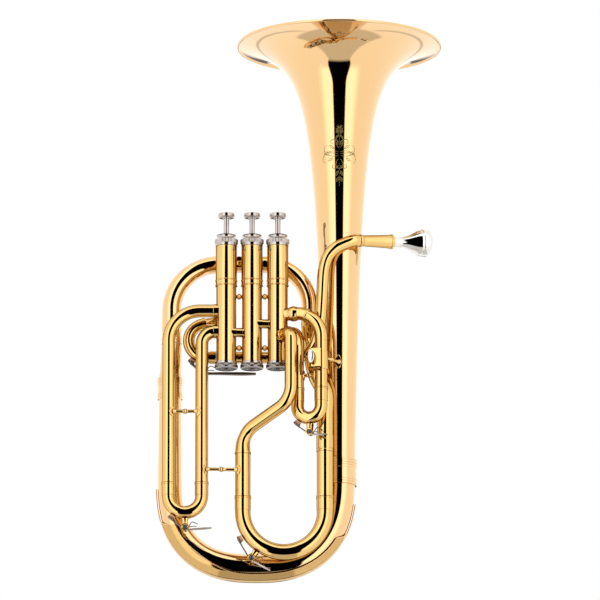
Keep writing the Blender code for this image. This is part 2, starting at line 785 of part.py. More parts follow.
def make_top_cap(number):
    inner = NECK_RADIUS + GAP
    outer = inner + CAP_WALL + 0.2
    neck = outer * 0.82
    low = UPPER_BARREL_TOP_Z + GAP
    shoulder = low + TOP_CAP_RING_HEIGHT
    hole = STEM_RADIUS + GAP
    top = shoulder + TOP_CAP_DOME_HEIGHT
    profile = [
        (hole, top),
        (neck * 0.6, top - 0.2),
        (neck, shoulder + 1.2),
        (neck, shoulder - 0.8),
        (outer, low + TOP_CAP_GRIP[1]),
        (outer, low + TOP_CAP_GRIP[0]),
        (inner + CAP_WALL * 0.6, low),
        (inner, low),
        (inner, low + TOP_CAP_GRIP[1] - 0.4),
        (neck - CAP_WALL, shoulder - 1.2),
        (hole, shoulder + 0.8),
    ]
    turned(f"top_cap_{number}", profile, SILVER, at(VALVE_X[number - 1], 0, 0))


def make_piston(number):
    """A piston with its passages: the open way, and the two that lead through the slide when pressed."""
    x = VALVE_X[number - 1]
    radius = CASING_RADIUS - CASING_WALL - GAP
    top = SEAT_Z - GAP
    profile = [
        (0.0, PISTON_ROD_TOP_Z),
        (PISTON_ROD_RADIUS, PISTON_ROD_TOP_Z),
        (PISTON_ROD_RADIUS, top),
        (radius, top),
        (radius, PISTON_BOTTOM_Z),
        (0.0, PISTON_BOTTOM_Z),
    ]
    piston = turned(f"piston_{number}", profile, SILVER, at(x, 0, 0), closed=False)
    way_in, way_out, slide_up, slide_down = PORTS[number]
    pairs = ((way_in, way_out, 0.0), (way_in, slide_up, PISTON_TRAVEL), (slide_down, way_out, PISTON_TRAVEL))
    for index, (a, b, raised) in enumerate(pairs):
        meeting = at(x, 0, (a[1] + b[1]) / 2 + raised)
        for side, (angle, z, depth) in enumerate((a, b)):
            outward = Vector((math.cos(angle), math.sin(angle), 0)) * CASING_RADIUS
            mouth = at(x, depth, z + raised) + outward
            inward = (meeting - mouth).normalized() * PASSAGE_RADIUS * 0.5
            name = f"piston_{number}_passage_{index}_{side}"
            boolean(piston, cylinder(name, meeting + inward, mouth, PASSAGE_RADIUS, 8))


def make_finger_button(number):
    """The stem with its spring collar and finger button."""
    collar = UPPER_BARREL_RADIUS - CASING_WALL - 1.4
    top = BUTTON_UNDERSIDE_Z + BUTTON_THICKNESS
    profile = [
        (0.0, top - 0.6),
        (BUTTON_RADIUS * 0.8, top - 0.3),
        (BUTTON_RADIUS - 0.8, top),
        (BUTTON_RADIUS, top - 0.9),
        (BUTTON_RADIUS, BUTTON_UNDERSIDE_Z + 0.9),
        (BUTTON_RADIUS - 1.2, BUTTON_UNDERSIDE_Z),
        (STEM_RADIUS, BUTTON_UNDERSIDE_Z),
        (STEM_RADIUS, STEM_COLLAR_Z[1]),
        (collar, STEM_COLLAR_Z[1]),
        (collar, STEM_COLLAR_Z[0]),
        (STEM_RADIUS, STEM_COLLAR_Z[0]),
        (STEM_RADIUS, PISTON_ROD_TOP_Z + GAP),
        (0.0, PISTON_ROD_TOP_Z + GAP),
    ]
    turned(f"finger_button_{number}", profile, SILVER, at(VALVE_X[number - 1], 0, 0), steps=14, closed=False)


def make_valve_spring(number):
    """A helical spring between the casing's seat and the stem's collar."""
    x = VALVE_X[number - 1]
    seat = SEAT_Z + SEAT_THICKNESS
    low = seat + GAP + SPRING_WIRE_RADIUS
    high = STEM_COLLAR_Z[0] - GAP - SPRING_WIRE_RADIUS
    count = SPRING_TURNS * SPRING_POINTS_PER_TURN
    points = []
    for step in range(count + 1):
        angle = 2 * math.pi * step / SPRING_POINTS_PER_TURN
        height = low + (high - low) * step / count
        points.append(at(x + SPRING_RADIUS * math.cos(angle), SPRING_RADIUS * math.sin(angle), height))
    least = min(
        (a - b).length
        for i, a in enumerate(points)
        for b in points[i + SPRING_POINTS_PER_TURN // 2 :]
    )
    print(f"valve_spring_{number}: least gap to itself {least - 2 * SPRING_WIRE_RADIUS:.2f} mm")
    sweep(
        f"valve_spring_{number}",
        points,
        [SPRING_WIRE_RADIUS] * len(points),
        STEEL,
        at(x, 0, seat),
        resolution=1,
        capped=True,
    )


def make_knuckle(name, right_valve, z, cutters):
    """A short tube that slants back from the front of one casing to the side of the next."""
    left, right = VALVE_X[right_valve], VALVE_X[right_valve - 1]
    route = [at(left + 0.5, KNUCKLE_DEPTHS[0], z), at(right - 0.5, KNUCKLE_DEPTHS[1], z)]
    tube(name, route, [(0, KNUCKLE_RADIUS), (-0.01, KNUCKLE_RADIUS)], cutters=cutters)


# Slides


def slide_bow(name, left, right, pull, straight, inner, radii, cutters=()):
    """A moving bow with its two inner legs. left and right are where it meets the fixed tubes."""
    left, right, pull = Vector(left), Vector(right), Vector(pull)
    bend = (right - left).length / 2
    low = pull * (straight + bend)
    tops = left - pull * inner, right - pull * inner
    route = filleted([(tops[0], 0), (left + low, bend), (right + low, bend), (tops[1], 0)])
    first, last = radii
    start, end = inner + GAP, inner + GAP + FERRULE_CHAMFER
    ferrule = end + min(BOW_FERRULE_LENGTH, straight - 1)
    profile = [
        (0, first - INNER_STEP),
        (start, first - INNER_STEP),
        (end, first + FERRULE_LIFT),
        (ferrule, first + FERRULE_LIFT),
        (ferrule + FERRULE_CHAMFER, first),
        (-ferrule - FERRULE_CHAMFER, last),
        (-ferrule, last + FERRULE_LIFT),
        (-end, last + FERRULE_LIFT),
        (-start, last - INNER_STEP),
        (-0.01, last - INNER_STEP),
    ]
    centre = (left + right) / 2 + pull * straight
    return tube(name, route, profile, origin=centre)


def make_third_slide(casing):
    left, right = THIRD_SLIDE_X
    even = [(0, SLIDE_TUBE_RADIUS), (-0.01, SLIDE_TUBE_RADIUS)]
    upper = [
        (at(VALVE_X[2] - 0.5, 0, THIRD_UPPER_Z), 0),
        (at(left, 0, THIRD_UPPER_Z), THIRD_UPPER_BEND),
        (at(left, 0, THIRD_SLIDE_JOINT_Z), 0),
    ]
    lower = [
        (at(VALVE_X[2] - 0.5, 0, THIRD_LOWER_Z), 0),
        (at(right, 0, THIRD_LOWER_Z), THIRD_LOWER_BEND),
        (at(right, 0, THIRD_SLIDE_JOINT_Z), 0),
    ]
    tube("third_slide_upper_tube", filleted(upper), even, cutters=[casing])
    tube("third_slide_lower_tube", filleted(lower), even, cutters=[casing])
    slide_bow(
        "third_slide_bow",
        at(left, 0, THIRD_SLIDE_JOINT_Z),
        at(right, 0, THIRD_SLIDE_JOINT_Z),
        (0, 0, -1),
        THIRD_SLIDE_STRAIGHT,
        THIRD_SLIDE_INNER,
        (SLIDE_TUBE_RADIUS, SLIDE_TUBE_RADIUS),
    )


def first_slide_legs(z=FIRST_SLIDE_TOP_Z):
    """Where the legs of the first slide stand, at a height."""
    return [at(x, depth, z) for x, depth in zip(FIRST_SLIDE_X, FIRST_SLIDE_DEPTHS)]


def make_first_slide(casing):
    left, right = first_slide_legs()
    even = [(0, SLIDE_TUBE_RADIUS), (-0.01, SLIDE_TUBE_RADIUS)]
    drop = Vector((0, 0, FIRST_SLIDE_JOINT_Z - FIRST_SLIDE_TOP_Z))
    port = at(VALVE_X[0] + 0.5, 0, FIRST_UPPER_Z)
    corner = Vector((right.x, right.y, FIRST_UPPER_Z))
    upper = filleted([(port, 0), (corner, FIRST_UPPER_BEND), (right + drop, 0)])
    port = at(VALVE_X[0], 0, FIRST_LOWER_Z)
    out = Vector((math.cos(FIRST_LOWER_ANGLE), math.sin(FIRST_LOWER_ANGLE), 0))
    lower = flowing(
        [
            port + out * 0.5,
            port + out * (CASING_RADIUS + FIRST_LOWER_STRAIGHT),
            left + Vector(FIRST_LOWER_VIA[0]),
            left + Vector(FIRST_LOWER_VIA[1]),
            left,
            left + drop * 0.1,
        ]
    )
    lower.append(left + drop)
    tube("first_slide_upper_tube", upper, even, cutters=[casing])
    tube("first_slide_lower_tube", lower, even, cutters=[casing])
    slide_bow(
        "first_slide_bow",
        left + drop,
        right + drop,
        (0, 0, -1),
        FIRST_SLIDE_STRAIGHT,
        FIRST_SLIDE_INNER,
        (SLIDE_TUBE_RADIUS, SLIDE_TUBE_RADIUS),
    )


def make_second_slide(casing):
    """The short slide on the back of the middle valve."""
    x = VALVE_X[1]
    even = [(0, SLIDE_TUBE_RADIUS), (-0.01, SLIDE_TUBE_RADIUS)]
    ends = []
    for name, z in zip(("second_slide_upper_tube", "second_slide_lower_tube"), SECOND_SLIDE_Z):
        end = at(x, SECOND_SLIDE_JOINT_DEPTH, z)
        tube(name, [at(x, 0.5, z), end], even, cutters=[casing])
        ends.append(end)
    slide_bow(
        "second_slide_bow",
        ends[0],
        ends[1],
        (0, 1, 0),
        SECOND_SLIDE_STRAIGHT,
        SECOND_SLIDE_INNER,
        (SLIDE_TUBE_RADIUS, SLIDE_TUBE_RADIUS),
    )


def make_tuning_slide():
    left, right = TUNING_SLIDE_X
    for name, x, top, radius in (
        ("tuning_slide_left_tube", left, TUNING_LEFT_TOP_Z, TUNING_LEFT_RADIUS),
        ("tuning_slide_right_tube", right, TUNING_RIGHT_TOP_Z, TUNING_RIGHT_RADIUS),
    ):
        route = [at(x, TUNING_SLIDE_DEPTH, top), at(x, TUNING_SLIDE_DEPTH, TUNING_JOINT_Z)]
        tube(name, route, [(0, radius), (-0.01, radius)])
    slide_bow(
        "tuning_slide_bow",
        at(left, TUNING_SLIDE_DEPTH, TUNING_JOINT_Z),
        at(right, TUNING_SLIDE_DEPTH, TUNING_JOINT_Z),
        (0, 0, -1),
        TUNING_STRAIGHT,
        TUNING_INNER,
        (TUNING_LEFT_RADIUS, TUNING_RIGHT_RADIUS),
    )


def make_outlet(casing):
    """From the front of the first valve down and across to the left leg of the main tuning slide."""
    left = TUNING_SLIDE_X[0]
    route = filleted(
        [
            (at(VALVE_X[0] + 0.3, -0.5, OUTLET_PORT_Z), 0),
            (at(OUTLET_X, OUTLET_DEPTH, OUTLET_PORT_Z), OUTLET_TOP_BEND),
            (at(OUTLET_X, OUTLET_DEPTH, OUTLET_LOWER_Z), OUTLET_SIDE_BEND),
            (at(left, TUNING_SLIDE_DEPTH, OUTLET_JOIN_Z), OUTLET_SIDE_BEND),
            (at(left, TUNING_SLIDE_DEPTH, TUNING_LEFT_TOP_Z + GAP), 0),
        ]
    )
    profile = [
        (0, OUTLET_RADIUS),
        (-16, OUTLET_RADIUS),
        (-1.0 - FERRULE_CHAMFER, TUNING_LEFT_RADIUS - 0.4),
        (-1.0, TUNING_LEFT_RADIUS + FERRULE_LIFT),
        (-0.01, TUNING_LEFT_RADIUS + FERRULE_LIFT),
    ]
    tube("valve_outlet_tube", route, profile, cutters=[casing])


# Leadpipe, receiver and mouthpiece


def receiver_axis():
    """To the right, swept back round the bell towards the player, and rising a little."""
    level = math.cos(RECEIVER_RISE)
    return Vector((math.cos(RECEIVER_SWEEP) * level, math.sin(RECEIVER_SWEEP) * level, math.sin(RECEIVER_RISE)))


def receiver_start():
    """The receiver's small end, in front of the bell and to its right."""
    reach = bell_radius(RECEIVER_Z) + LEADPIPE_RADIUS + RECEIVER_BELL_CLEARANCE
    return Vector((RECEIVER_X, -math.sqrt(reach**2 - (RECEIVER_X - BELL_X) ** 2), RECEIVER_Z))


def run_depth():
    """How far behind the valves' plane the leadpipe runs, clear of the casings."""
    return CASING_RADIUS + LEADPIPE_RADIUS + 0.7


def make_leadpipe():
    """From the receiver in front of the bell, down, and behind the casings to the left."""
    axis = receiver_axis()
    start = receiver_start() - axis * GAP
    run_start = at(VALVE_X[0] + CASING_RADIUS, run_depth(), LEADPIPE_RUN_Z)
    route = flowing(
        [
            start - axis * LEADPIPE_STRAIGHT,
            start - axis * LEADPIPE_LEAD,
            *round_bell(LEADPIPE_RADIUS, zip(LEADPIPE_HEIGHTS, LEADPIPE_ANGLES, LEADPIPE_CLEARANCES)),
            run_start + Vector(LEADPIPE_TURN_END),
            run_start,
        ]
    )
    route = [start, *route, at(VALVE_X[2] - CASING_RADIUS, run_depth(), LEADPIPE_RUN_Z)]
    tube("leadpipe", route, [(0, LEADPIPE_RADIUS), (-0.01, LEADPIPE_RADIUS)])


def make_leadpipe_loop(casing):
    """The loop that brings the leadpipe round to the third valve."""
    left = LOOP_X - LOOP_BEND
    high = LEADPIPE_RUN_Z + 2 * LOOP_BEND
    route = filleted(
        [
            (at(VALVE_X[2] - CASING_RADIUS - GAP, run_depth(), LEADPIPE_RUN_Z), 0),
            (at(left, run_depth(), LEADPIPE_RUN_Z), LOOP_BEND),
            (at(left, run_depth(), high), LOOP_BEND - 0.01),
            (at(LOOP_X + 2, run_depth() - 0.5, high), 5.0),
            (at(VALVE_X[2] - 0.4, 0.3, LOOP_END_Z), 0),
        ]
    )
    slim = LEADPIPE_RADIUS - 0.3
    profile = [(0, LEADPIPE_RADIUS), (LOOP_BEND * 4, LEADPIPE_RADIUS), (-20, slim), (-0.01, slim)]
    tube("leadpipe_loop", route, profile, cutters=[casing])


def make_receiver():
    length = RECEIVER_LENGTH
    mouth = SHANK_MOUTH_RADIUS + GAP
    ring = RECEIVER_LARGE_RADIUS + FERRULE_LIFT
    small_ring = LEADPIPE_RADIUS + FERRULE_LIFT
    bore = LEADPIPE_RADIUS - TUBE_WALL - 1.0
    shank_end = length - SHANK_INSERTION
    profile = [
        (mouth, length),
        (ring, length),
        (ring, length - RECEIVER_RING_WIDTH),
        (RECEIVER_LARGE_RADIUS, length - RECEIVER_RING_WIDTH - FERRULE_CHAMFER),
        (RECEIVER_SMALL_RADIUS, RECEIVER_RING_WIDTH + FERRULE_CHAMFER),
        (small_ring, RECEIVER_RING_WIDTH),
        (small_ring, 0),
        (bore, 0),
        (bore, shank_end - 2),
        (SHANK_TIP_RADIUS + GAP, shank_end - 0.5),
    ]
    start = receiver_start()
    turned("mouthpiece_receiver", profile, BRASS, start, receiver_axis(), steps=16)


def make_mouthpiece():
    """The mouthpiece, whose tapered shank sits in the receiver. Heights are from the shank's tip."""
    rim, cup, throat = MOUTHPIECE_RIM_RADIUS, MOUTHPIECE_CUP_RADIUS, MOUTHPIECE_THROAT_RADIUS
    top = MOUTHPIECE_LENGTH
    neck = SHANK_INSERTION + 8.5
    profile = [
        (rim - 2.6, top),
        (rim - 0.9, top - 0.8),
        (rim, top - 2.8),
        (rim, top - 10.5),
        (rim - 1.9, top - 13.5),
        (rim - 5.3, top - 20.5),
        (rim - 7.8, top - 25.5),
        (SHANK_MOUTH_RADIUS - 0.4, neck + 0.8),
        (SHANK_MOUTH_RADIUS + 0.1, neck),
        (SHANK_MOUTH_RADIUS, SHANK_INSERTION),
        (SHANK_TIP_RADIUS, 0),
        (SHANK_TIP_RADIUS - 0.8, 0),
        (throat, top - 26.0),
        (throat, top - 20.0),
        (cup * 0.72, top - 13.0),
        (cup * 0.92, top - 6.0),
        (cup, top - 1.6),
    ]
    axis = receiver_axis()
    start = receiver_start() + axis * (RECEIVER_LENGTH - SHANK_INSERTION)
    turned("mouthpiece", profile, SILVER, start, axis)


# Braces


def make_brace(name, start, end, start_cutter, end_cutter, start_depth=BRACE_SEAT, end_depth=BRACE_SEAT):
    """A rod with a centre bead and a flange on each end, coped to the tubes it joins."""
    start, end = Vector(start), Vector(end)
    length = (end - start).length
    axis = (end - start).normalized()
    flange = BRACE_FLANGE_THICKNESS
    reach = start_depth + flange
    far = end_depth + flange
    middle = (reach + length - far) / 2
    profile = [
        (0, length),
        (BRACE_FLANGE_RADIUS, length),
        (BRACE_FLANGE_RADIUS, length - far + 0.8),
        (BRACE_ROD_RADIUS, length - far),
        (BRACE_ROD_RADIUS, middle + 1.8),
        (BRACE_BEAD_RADIUS, middle + 0.7),
        (BRACE_BEAD_RADIUS, middle - 0.7),
        (BRACE_ROD_RADIUS, middle - 1.8),
        (BRACE_ROD_RADIUS, reach),
        (BRACE_FLANGE_RADIUS, reach - 0.8),
        (BRACE_FLANGE_RADIUS, 0),
        (0, 0),
    ]
    brace = turned(name, profile, BRASS, start, axis, steps=12, closed=False)
    boolean(brace, start_cutter)
    boolean(brace, end_cutter)


def leg_cutter(name, point, radius):
    """The space of an upright tube, round a brace's end."""
    reach = Vector((0, 0, BRACE_CUTTER_REACH))
    return cylinder(name + "_space", point - reach, point + reach, radius + GAP, 20)


def make_leg_brace(name, left, right, left_radius, right_radius, forward=0.0):
    """A brace between two upright tubes, by the points on their axes and its distance in front of them."""
    left, right = Vector(left), Vector(right)
    across = (right - left).normalized()
    front = Vector((0, -forward, 0))
    make_brace(
        name,
        left + front + across * (math.sqrt(left_radius**2 - forward**2) - BRACE_SEAT),
        right + front - across * (math.sqrt(right_radius**2 - forward**2) - BRACE_SEAT),
        leg_cutter(name + "_left", left, left_radius),
        leg_cutter(name + "_right", right, right_radius),
    )


def make_braces():
    radius = SLIDE_TUBE_RADIUS
    third_legs = [at(x, 0, THIRD_BRACE_Z) for x in THIRD_SLIDE_X]
    make_leg_brace("third_slide_brace", *third_legs, radius, radius, BRACE_FORWARD)
    make_leg_brace(
        "tuning_slide_brace",
        at(THIRD_SLIDE_X[1], 0, TUNING_BRACE_Z),
        at(TUNING_SLIDE_X[0], TUNING_SLIDE_DEPTH, TUNING_BRACE_Z),
        radius,
        TUNING_LEFT_RADIUS,
        BRACE_FORWARD,
    )
    make_leg_brace("first_slide_brace", *first_slide_legs(FIRST_BRACE_Z), radius, radius)

    leg = first_slide_legs(BELL_BRACE_Z)[1]
    reach = Vector((0, 0, BRACE_CUTTER_REACH))
    widest = bell_radius(BELL_BRACE_Z + BRACE_CUTTER_REACH) + GAP
    axis = Vector((BELL_X, 0, BELL_BRACE_Z))
    bell_space = cylinder("bell_brace_space", axis - reach, axis + reach, widest, BELL_STEPS)
    seat = Vector((BELL_X + BELL_BRACE_SIDE, 2.0 - bell_radius(BELL_BRACE_Z), BELL_BRACE_Z))
    outward = (seat - leg).normalized()
    make_brace(
        "bell_brace",
        leg + outward * (radius - BRACE_SEAT),
        seat + outward * 2.0,
        leg_cutter("bell_brace_leg", leg, radius),
        bell_space,
        end_depth=4.5,
    )


# Water keys


def in_plane(centre, across, point):
    """A point of a bow's own plane, by its distances across and up from the bow's centre."""
    return Vector(centre) + Vector(across) * point[0] + Vector((0, 0, point[1]))


def make_water_key(number, centre, across, outer, pivot, cork_angle, tip):
    """A lever with a corked cup on a bow, and the saddle that it turns in."""
    centre, across = Vector(centre), Vector(across).normalized()
    normal = Vector((0, 0, 1)).cross(across)
    pivot = in_plane(centre, across, pivot)
    tip = in_plane(centre, across, tip)
    cork = (math.cos(cork_angle), math.sin(cork_angle))
    seat = outer + GAP
    cup_low, cup_top, arm_end = (
        in_plane(centre, across, (cork[0] * reach, cork[1] * reach))
        for reach in (seat, seat + KEY_CORK_HEIGHT, seat + KEY_CORK_SEAT)
    )
    name = f"water_key_{number}"
    arm = sweep(name, [arm_end, pivot, tip], [KEY_WIRE_RADIUS] * 3, STEEL, pivot, resolution=2, capped=True)
    lever = as_mesh(arm)
    half = normal * KEY_BARREL_LENGTH / 2
    boolean(lever, cylinder(name + "_barrel", pivot - half, pivot + half, KEY_BARREL_RADIUS, 10), "UNION")
    boolean(lever, cylinder(name + "_cup", cup_low, cup_top, KEY_CORK_RADIUS, 12), "UNION")

    reach = (pivot - centre).length
    outward = (pivot - centre).normalized()
    tangent = normal.cross(outward)
    turn = Matrix((tangent, normal, outward)).transposed().to_quaternion()
    low, high = outer + GAP, reach + SADDLE_OVERHANG
    length = KEY_BARREL_LENGTH + 2 * GAP + 2 * SADDLE_LUG
    saddle_name = f"water_key_saddle_{number}"
    size = (SADDLE_WIDTH, length, high - low)
    saddle = solid_block(saddle_name, centre + outward * (low + high) / 2, size, turn)
    slot_low = reach - KEY_BARREL_RADIUS - SADDLE_FLOOR_GAP
    slot_high = high + SADDLE_FLOOR_GAP
    slot = block(
        saddle_name + "_slot",
        centre + outward * (slot_low + slot_high) / 2,
        (SADDLE_WIDTH * 2, KEY_BARREL_LENGTH + 2 * GAP, slot_high - slot_low),
        turn,
    )
    boolean(saddle, slot)


def make_water_keys():
    right = Vector((1, 0, 0))
    legs = first_slide_legs(FIRST_SLIDE_JOINT_Z - FIRST_SLIDE_STRAIGHT)
    spread = legs[1] - legs[0]
    tuning_spread = TUNING_SLIDE_X[1] - TUNING_SLIDE_X[0]
    tuning_centre = at(sum(TUNING_SLIDE_X) / 2, TUNING_SLIDE_DEPTH, TUNING_JOINT_Z - TUNING_STRAIGHT)
    third_spread = THIRD_SLIDE_X[1] - THIRD_SLIDE_X[0]
    third_centre = at(sum(THIRD_SLIDE_X) / 2, 0, THIRD_SLIDE_JOINT_Z - THIRD_SLIDE_STRAIGHT)
    loop_centre = at(LOOP_X, run_depth(), LEADPIPE_RUN_Z + LOOP_BEND)
    bows = (
        ((legs[0] + legs[1]) / 2, spread, spread.length / 2 + SLIDE_TUBE_RADIUS),
        (tuning_centre, right, tuning_spread / 2 + TUNING_RIGHT_RADIUS),
        (third_centre, right, third_spread / 2 + SLIDE_TUBE_RADIUS),
        (loop_centre, right, LOOP_BEND + LEADPIPE_RADIUS),
    )
    for index, (centre, across, outer) in enumerate(bows):
        reach = outer + KEY_PIVOT_LIFT[index]
        angle = KEY_PIVOT_ANGLE[index]
        pivot = (reach * math.cos(angle), reach * math.sin(angle))
        touch = KEY_TOUCH[index]
        tip = (pivot[0] + touch[0], pivot[1] + touch[1])
        cork_angle = angle - KEY_CORK_TURN[index]
        make_water_key(index + 1, centre, across, outer, pivot, cork_angle, tip)


# Lyre holder


def make_lyre_holder():
    """A socket for a music lyre, soldered to the front of the first slide's right tube."""
    width, thickness, height = LYRE_SIZE
    depth = FIRST_SLIDE_DEPTHS[1] - SLIDE_TUBE_RADIUS - GAP - thickness / 2
    centre = at(LYRE_X, depth, LYRE_Z)
    body = solid_block("lyre_holder", centre, LYRE_SIZE)
    boolean(body, block("lyre_slot", centre, (*LYRE_SLOT, height * 1.5)))
    forward = Vector((math.sin(SCREW_TURN), -math.cos(SCREW_TURN), 0))
    start = centre + Vector((SCREW_SIDE, 0, 0))
    bore = cylinder("lyre_screw_bore", start, start + forward * thickness * 2, SCREW_SHAFT_RADIUS + GAP, 12)
    boolean(body, bore)
    head = thickness / 2 / math.cos(SCREW_TURN) + SCREW_STAND_OFF
    tip = LYRE_SLOT[1] / 2 / math.cos(SCREW_TURN) + SCREW_SHAFT_RADIUS
    profile = [
        (0, head + SCREW_HEAD_THICKNESS),
        (SCREW_HEAD_RADIUS, head + SCREW_HEAD_THICKNESS),
        (SCREW_HEAD_RADIUS, head),
        (SCREW_SHAFT_RADIUS, head),
        (SCREW_SHAFT_RADIUS, tip),
        (0, tip),
    ]
    turned("lyre_thumbscrew", profile, SILVER, start, forward, steps=14, closed=False)


def main():
    casings = {number: casing_cutter(number) for number in (1, 2, 3)}
    make_bell()
    foot_radius = bell_radius(BELL_FOOT_Z) + FERRULE_EASE
    make_ferrule("bell_ferrule", (BELL_X, 0, BELL_FOOT_Z), BELL_FERRULE_LENGTH, foot_radius)
    make_bottom_bow()
    make_bow_guard()
    branch_radius = BRANCH_LOW_RADIUS + FERRULE_EASE / 2
    make_ferrule("branch_ferrule", (-BELL_X, 0, BOW_LEFT_TOP_Z), BRANCH_FERRULE_LENGTH, branch_radius)
    make_left_branch()
    make_top_bow()
    make_return_tube()
    for number in (1, 2, 3):
        make_casing(number)
        make_bottom_cap(number)
        make_top_cap(number)
        make_piston(number)
        make_finger_button(number)
        make_valve_spring(number)
    make_knuckle("knuckle_1_2", 1, KNUCKLE_Z[0], [casings[1], casings[2]])
    make_knuckle("knuckle_2_3", 2, KNUCKLE_Z[1], [casings[2], casings[3]])
    make_first_slide(casings[1])
    make_second_slide(casings[2])
    make_third_slide(casings[3])
    make_tuning_slide()
    make_outlet(casings[1])
    make_leadpipe()
    make_leadpipe_loop(casings[3])
    make_receiver()
    make_mouthpiece()
    make_braces()
    make_water_keys()
    make_lyre_holder()


main()
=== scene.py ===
"""Looks of the alto horn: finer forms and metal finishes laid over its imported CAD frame.

Positions are in millimetres in the frame's own axes and become metres where a mesh is made. A depth is
measured from the valves' plane, positive towards the bell. A profile is a list of (radius, height), which is
turned about an axis. A tube's marks are a list of (distance, radius) along it, where a negative distance
counts back from its far end.
"""

import json
import math

import bmesh
import bpy
import numpy as np
from bpy.props import FloatProperty, FloatVectorProperty, IntProperty, PointerProperty
from bpy.types import Operator, Panel, PropertyGroup
from mathutils import Matrix, Vector


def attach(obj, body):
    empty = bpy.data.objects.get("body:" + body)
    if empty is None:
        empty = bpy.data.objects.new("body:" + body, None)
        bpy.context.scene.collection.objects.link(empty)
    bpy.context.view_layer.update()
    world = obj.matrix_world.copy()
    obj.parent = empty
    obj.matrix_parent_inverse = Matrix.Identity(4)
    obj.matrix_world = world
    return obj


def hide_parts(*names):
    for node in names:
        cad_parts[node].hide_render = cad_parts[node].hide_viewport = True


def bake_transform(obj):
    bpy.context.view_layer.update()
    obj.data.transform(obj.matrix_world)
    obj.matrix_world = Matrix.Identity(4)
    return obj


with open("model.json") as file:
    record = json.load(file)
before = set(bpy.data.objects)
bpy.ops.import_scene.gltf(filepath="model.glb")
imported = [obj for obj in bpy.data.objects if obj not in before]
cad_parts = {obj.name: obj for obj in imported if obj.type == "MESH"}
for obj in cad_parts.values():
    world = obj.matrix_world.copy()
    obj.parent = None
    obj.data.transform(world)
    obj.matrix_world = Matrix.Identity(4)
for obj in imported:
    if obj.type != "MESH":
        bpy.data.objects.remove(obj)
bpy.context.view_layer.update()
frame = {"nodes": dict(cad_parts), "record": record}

bl_info = {
    "name": "Alto horn looks",
    "version": (1, 0, 0),
    "blender": (4, 5, 0),
    "location": "3D View > Sidebar > Horn",
    "description": "Dresses the packed alto horn in finer forms, lacquered brass and plated fittings",
    "category": "Object",
}

MM = 0.001
NODE_BODY = {node: body for body, nodes in frame["record"]["behaviour"]["bodies"].items() for node in nodes}

# Settings that several properties share
COLOUR = {"subtype": "COLOR", "size": 3, "min": 0, "max": 1}
FACTOR = {"subtype": "FACTOR", "min": 0.0, "max": 1.0}
ANGLE = {"subtype": "ANGLE", "unit": "ROTATION"}

# Walls, fits, and how finely a bend is made
WALL = 0.45
GAP = 0.3
SLIDE_GAP = 0.55
INNER_STEP = WALL + SLIDE_GAP
LIFT = 0.4
ARC_STEP = math.radians(3)

# Bell, bottom bow, branch and top bow
BELL_X = 84.75
RIM_Z = 553.2
RIM_RADIUS = 103.5
FLARE_DEPTH = 10.4
BELL_FOOT_Z = 112.0
BELL_WALL = 0.8
BELL_STEPS = 144
BELL_FERRULE_LENGTH = 27.0
BEAD_RADIUS = 1.5
ORNAMENT_Z = 434.0
ORNAMENT_LIFT = 0.06
BOW_CENTRE_Z = 102.6
BOW_SQUARENESS = 2.5
BOW_LEFT_TOP_Z = 198.4
BRANCH_FERRULE_LENGTH = 22.0
BRANCH_LOW_RADIUS = 11.2
BRANCH_TOP = (-83.3, 244.0)
BRANCH_TOP_RADIUS = 10.3
GUARD_THICKNESS = 0.7
GUARD_ROWS = 161
GUARD_RIBS = 23
GUARD_EDGE_WIRE = 0.42
GUARD_LINE_WIRE = 0.38
GUARD_HALF_ANGLES = (math.radians(52), math.radians(82))
GUARD_WIDENING = (0.48, 0.72)
GUARD_LINE_ANGLE = math.radians(20)
GUARD_TIP_HALF_ANGLE = math.radians(8)
GUARD_SPAN = (math.radians(9.8), math.radians(177.5))
GUARD_STAND_OFF = 0.55
GUARD_TONGUE = (0.10, 0.15)
TOP_BOW_Z = 326.9
TOP_BOW_X = (-83.3, 54.75)
TOP_BOW_BENDS = (48.0, 44.0)
TOP_BOW_RADIUS = 8.35
TOP_BOW_END_Z = 268.0

# Valves
VALVE_Y = -28.0
VALVE_X = (22.95, -2.75, -28.45)
CASING_RADIUS = 10.0
CASING_BOTTOM_Z = 214.0
CASING_TOP_Z = 343.0
BARREL_RADIUS = 10.6
BARREL_TOP_Z = 337.8
SEAT_Z = 297.0
SEAT_HEIGHT = 3.0
SEAT_HOLE = 5.6
NECK_RADIUS = 10.2
BOTTOM_CAP_TOP_Z = 219.0
BOTTOM_CAP_GRIP = 2.6
TOP_CAP_HEIGHT = 10.0
TOP_CAP_GRIP = (2.4, 6.4)
PISTON_ROD_TOP_Z = 330.0
STEM_RADIUS = 2.85
COLLAR_Z = (336.0, 338.0)
SPRING_RADIUS = 7.2
SPRING_WIRE = 0.45
SPRING_TURNS = 4
SPRING_STEPS = 24
SPACER_Z = (286.5, 233.6)
BUTTON_RADIUS = 8.5
BUTTON_THICKNESS = 4.2
BUTTON_Z = 367.8
KNUCKLE_RADIUS = 4.6
KNUCKLE_DEPTHS = (-4.3, -0.8)
KNUCKLE_Z = (257.9, 249.0)
KNUCKLE_START = 9.0

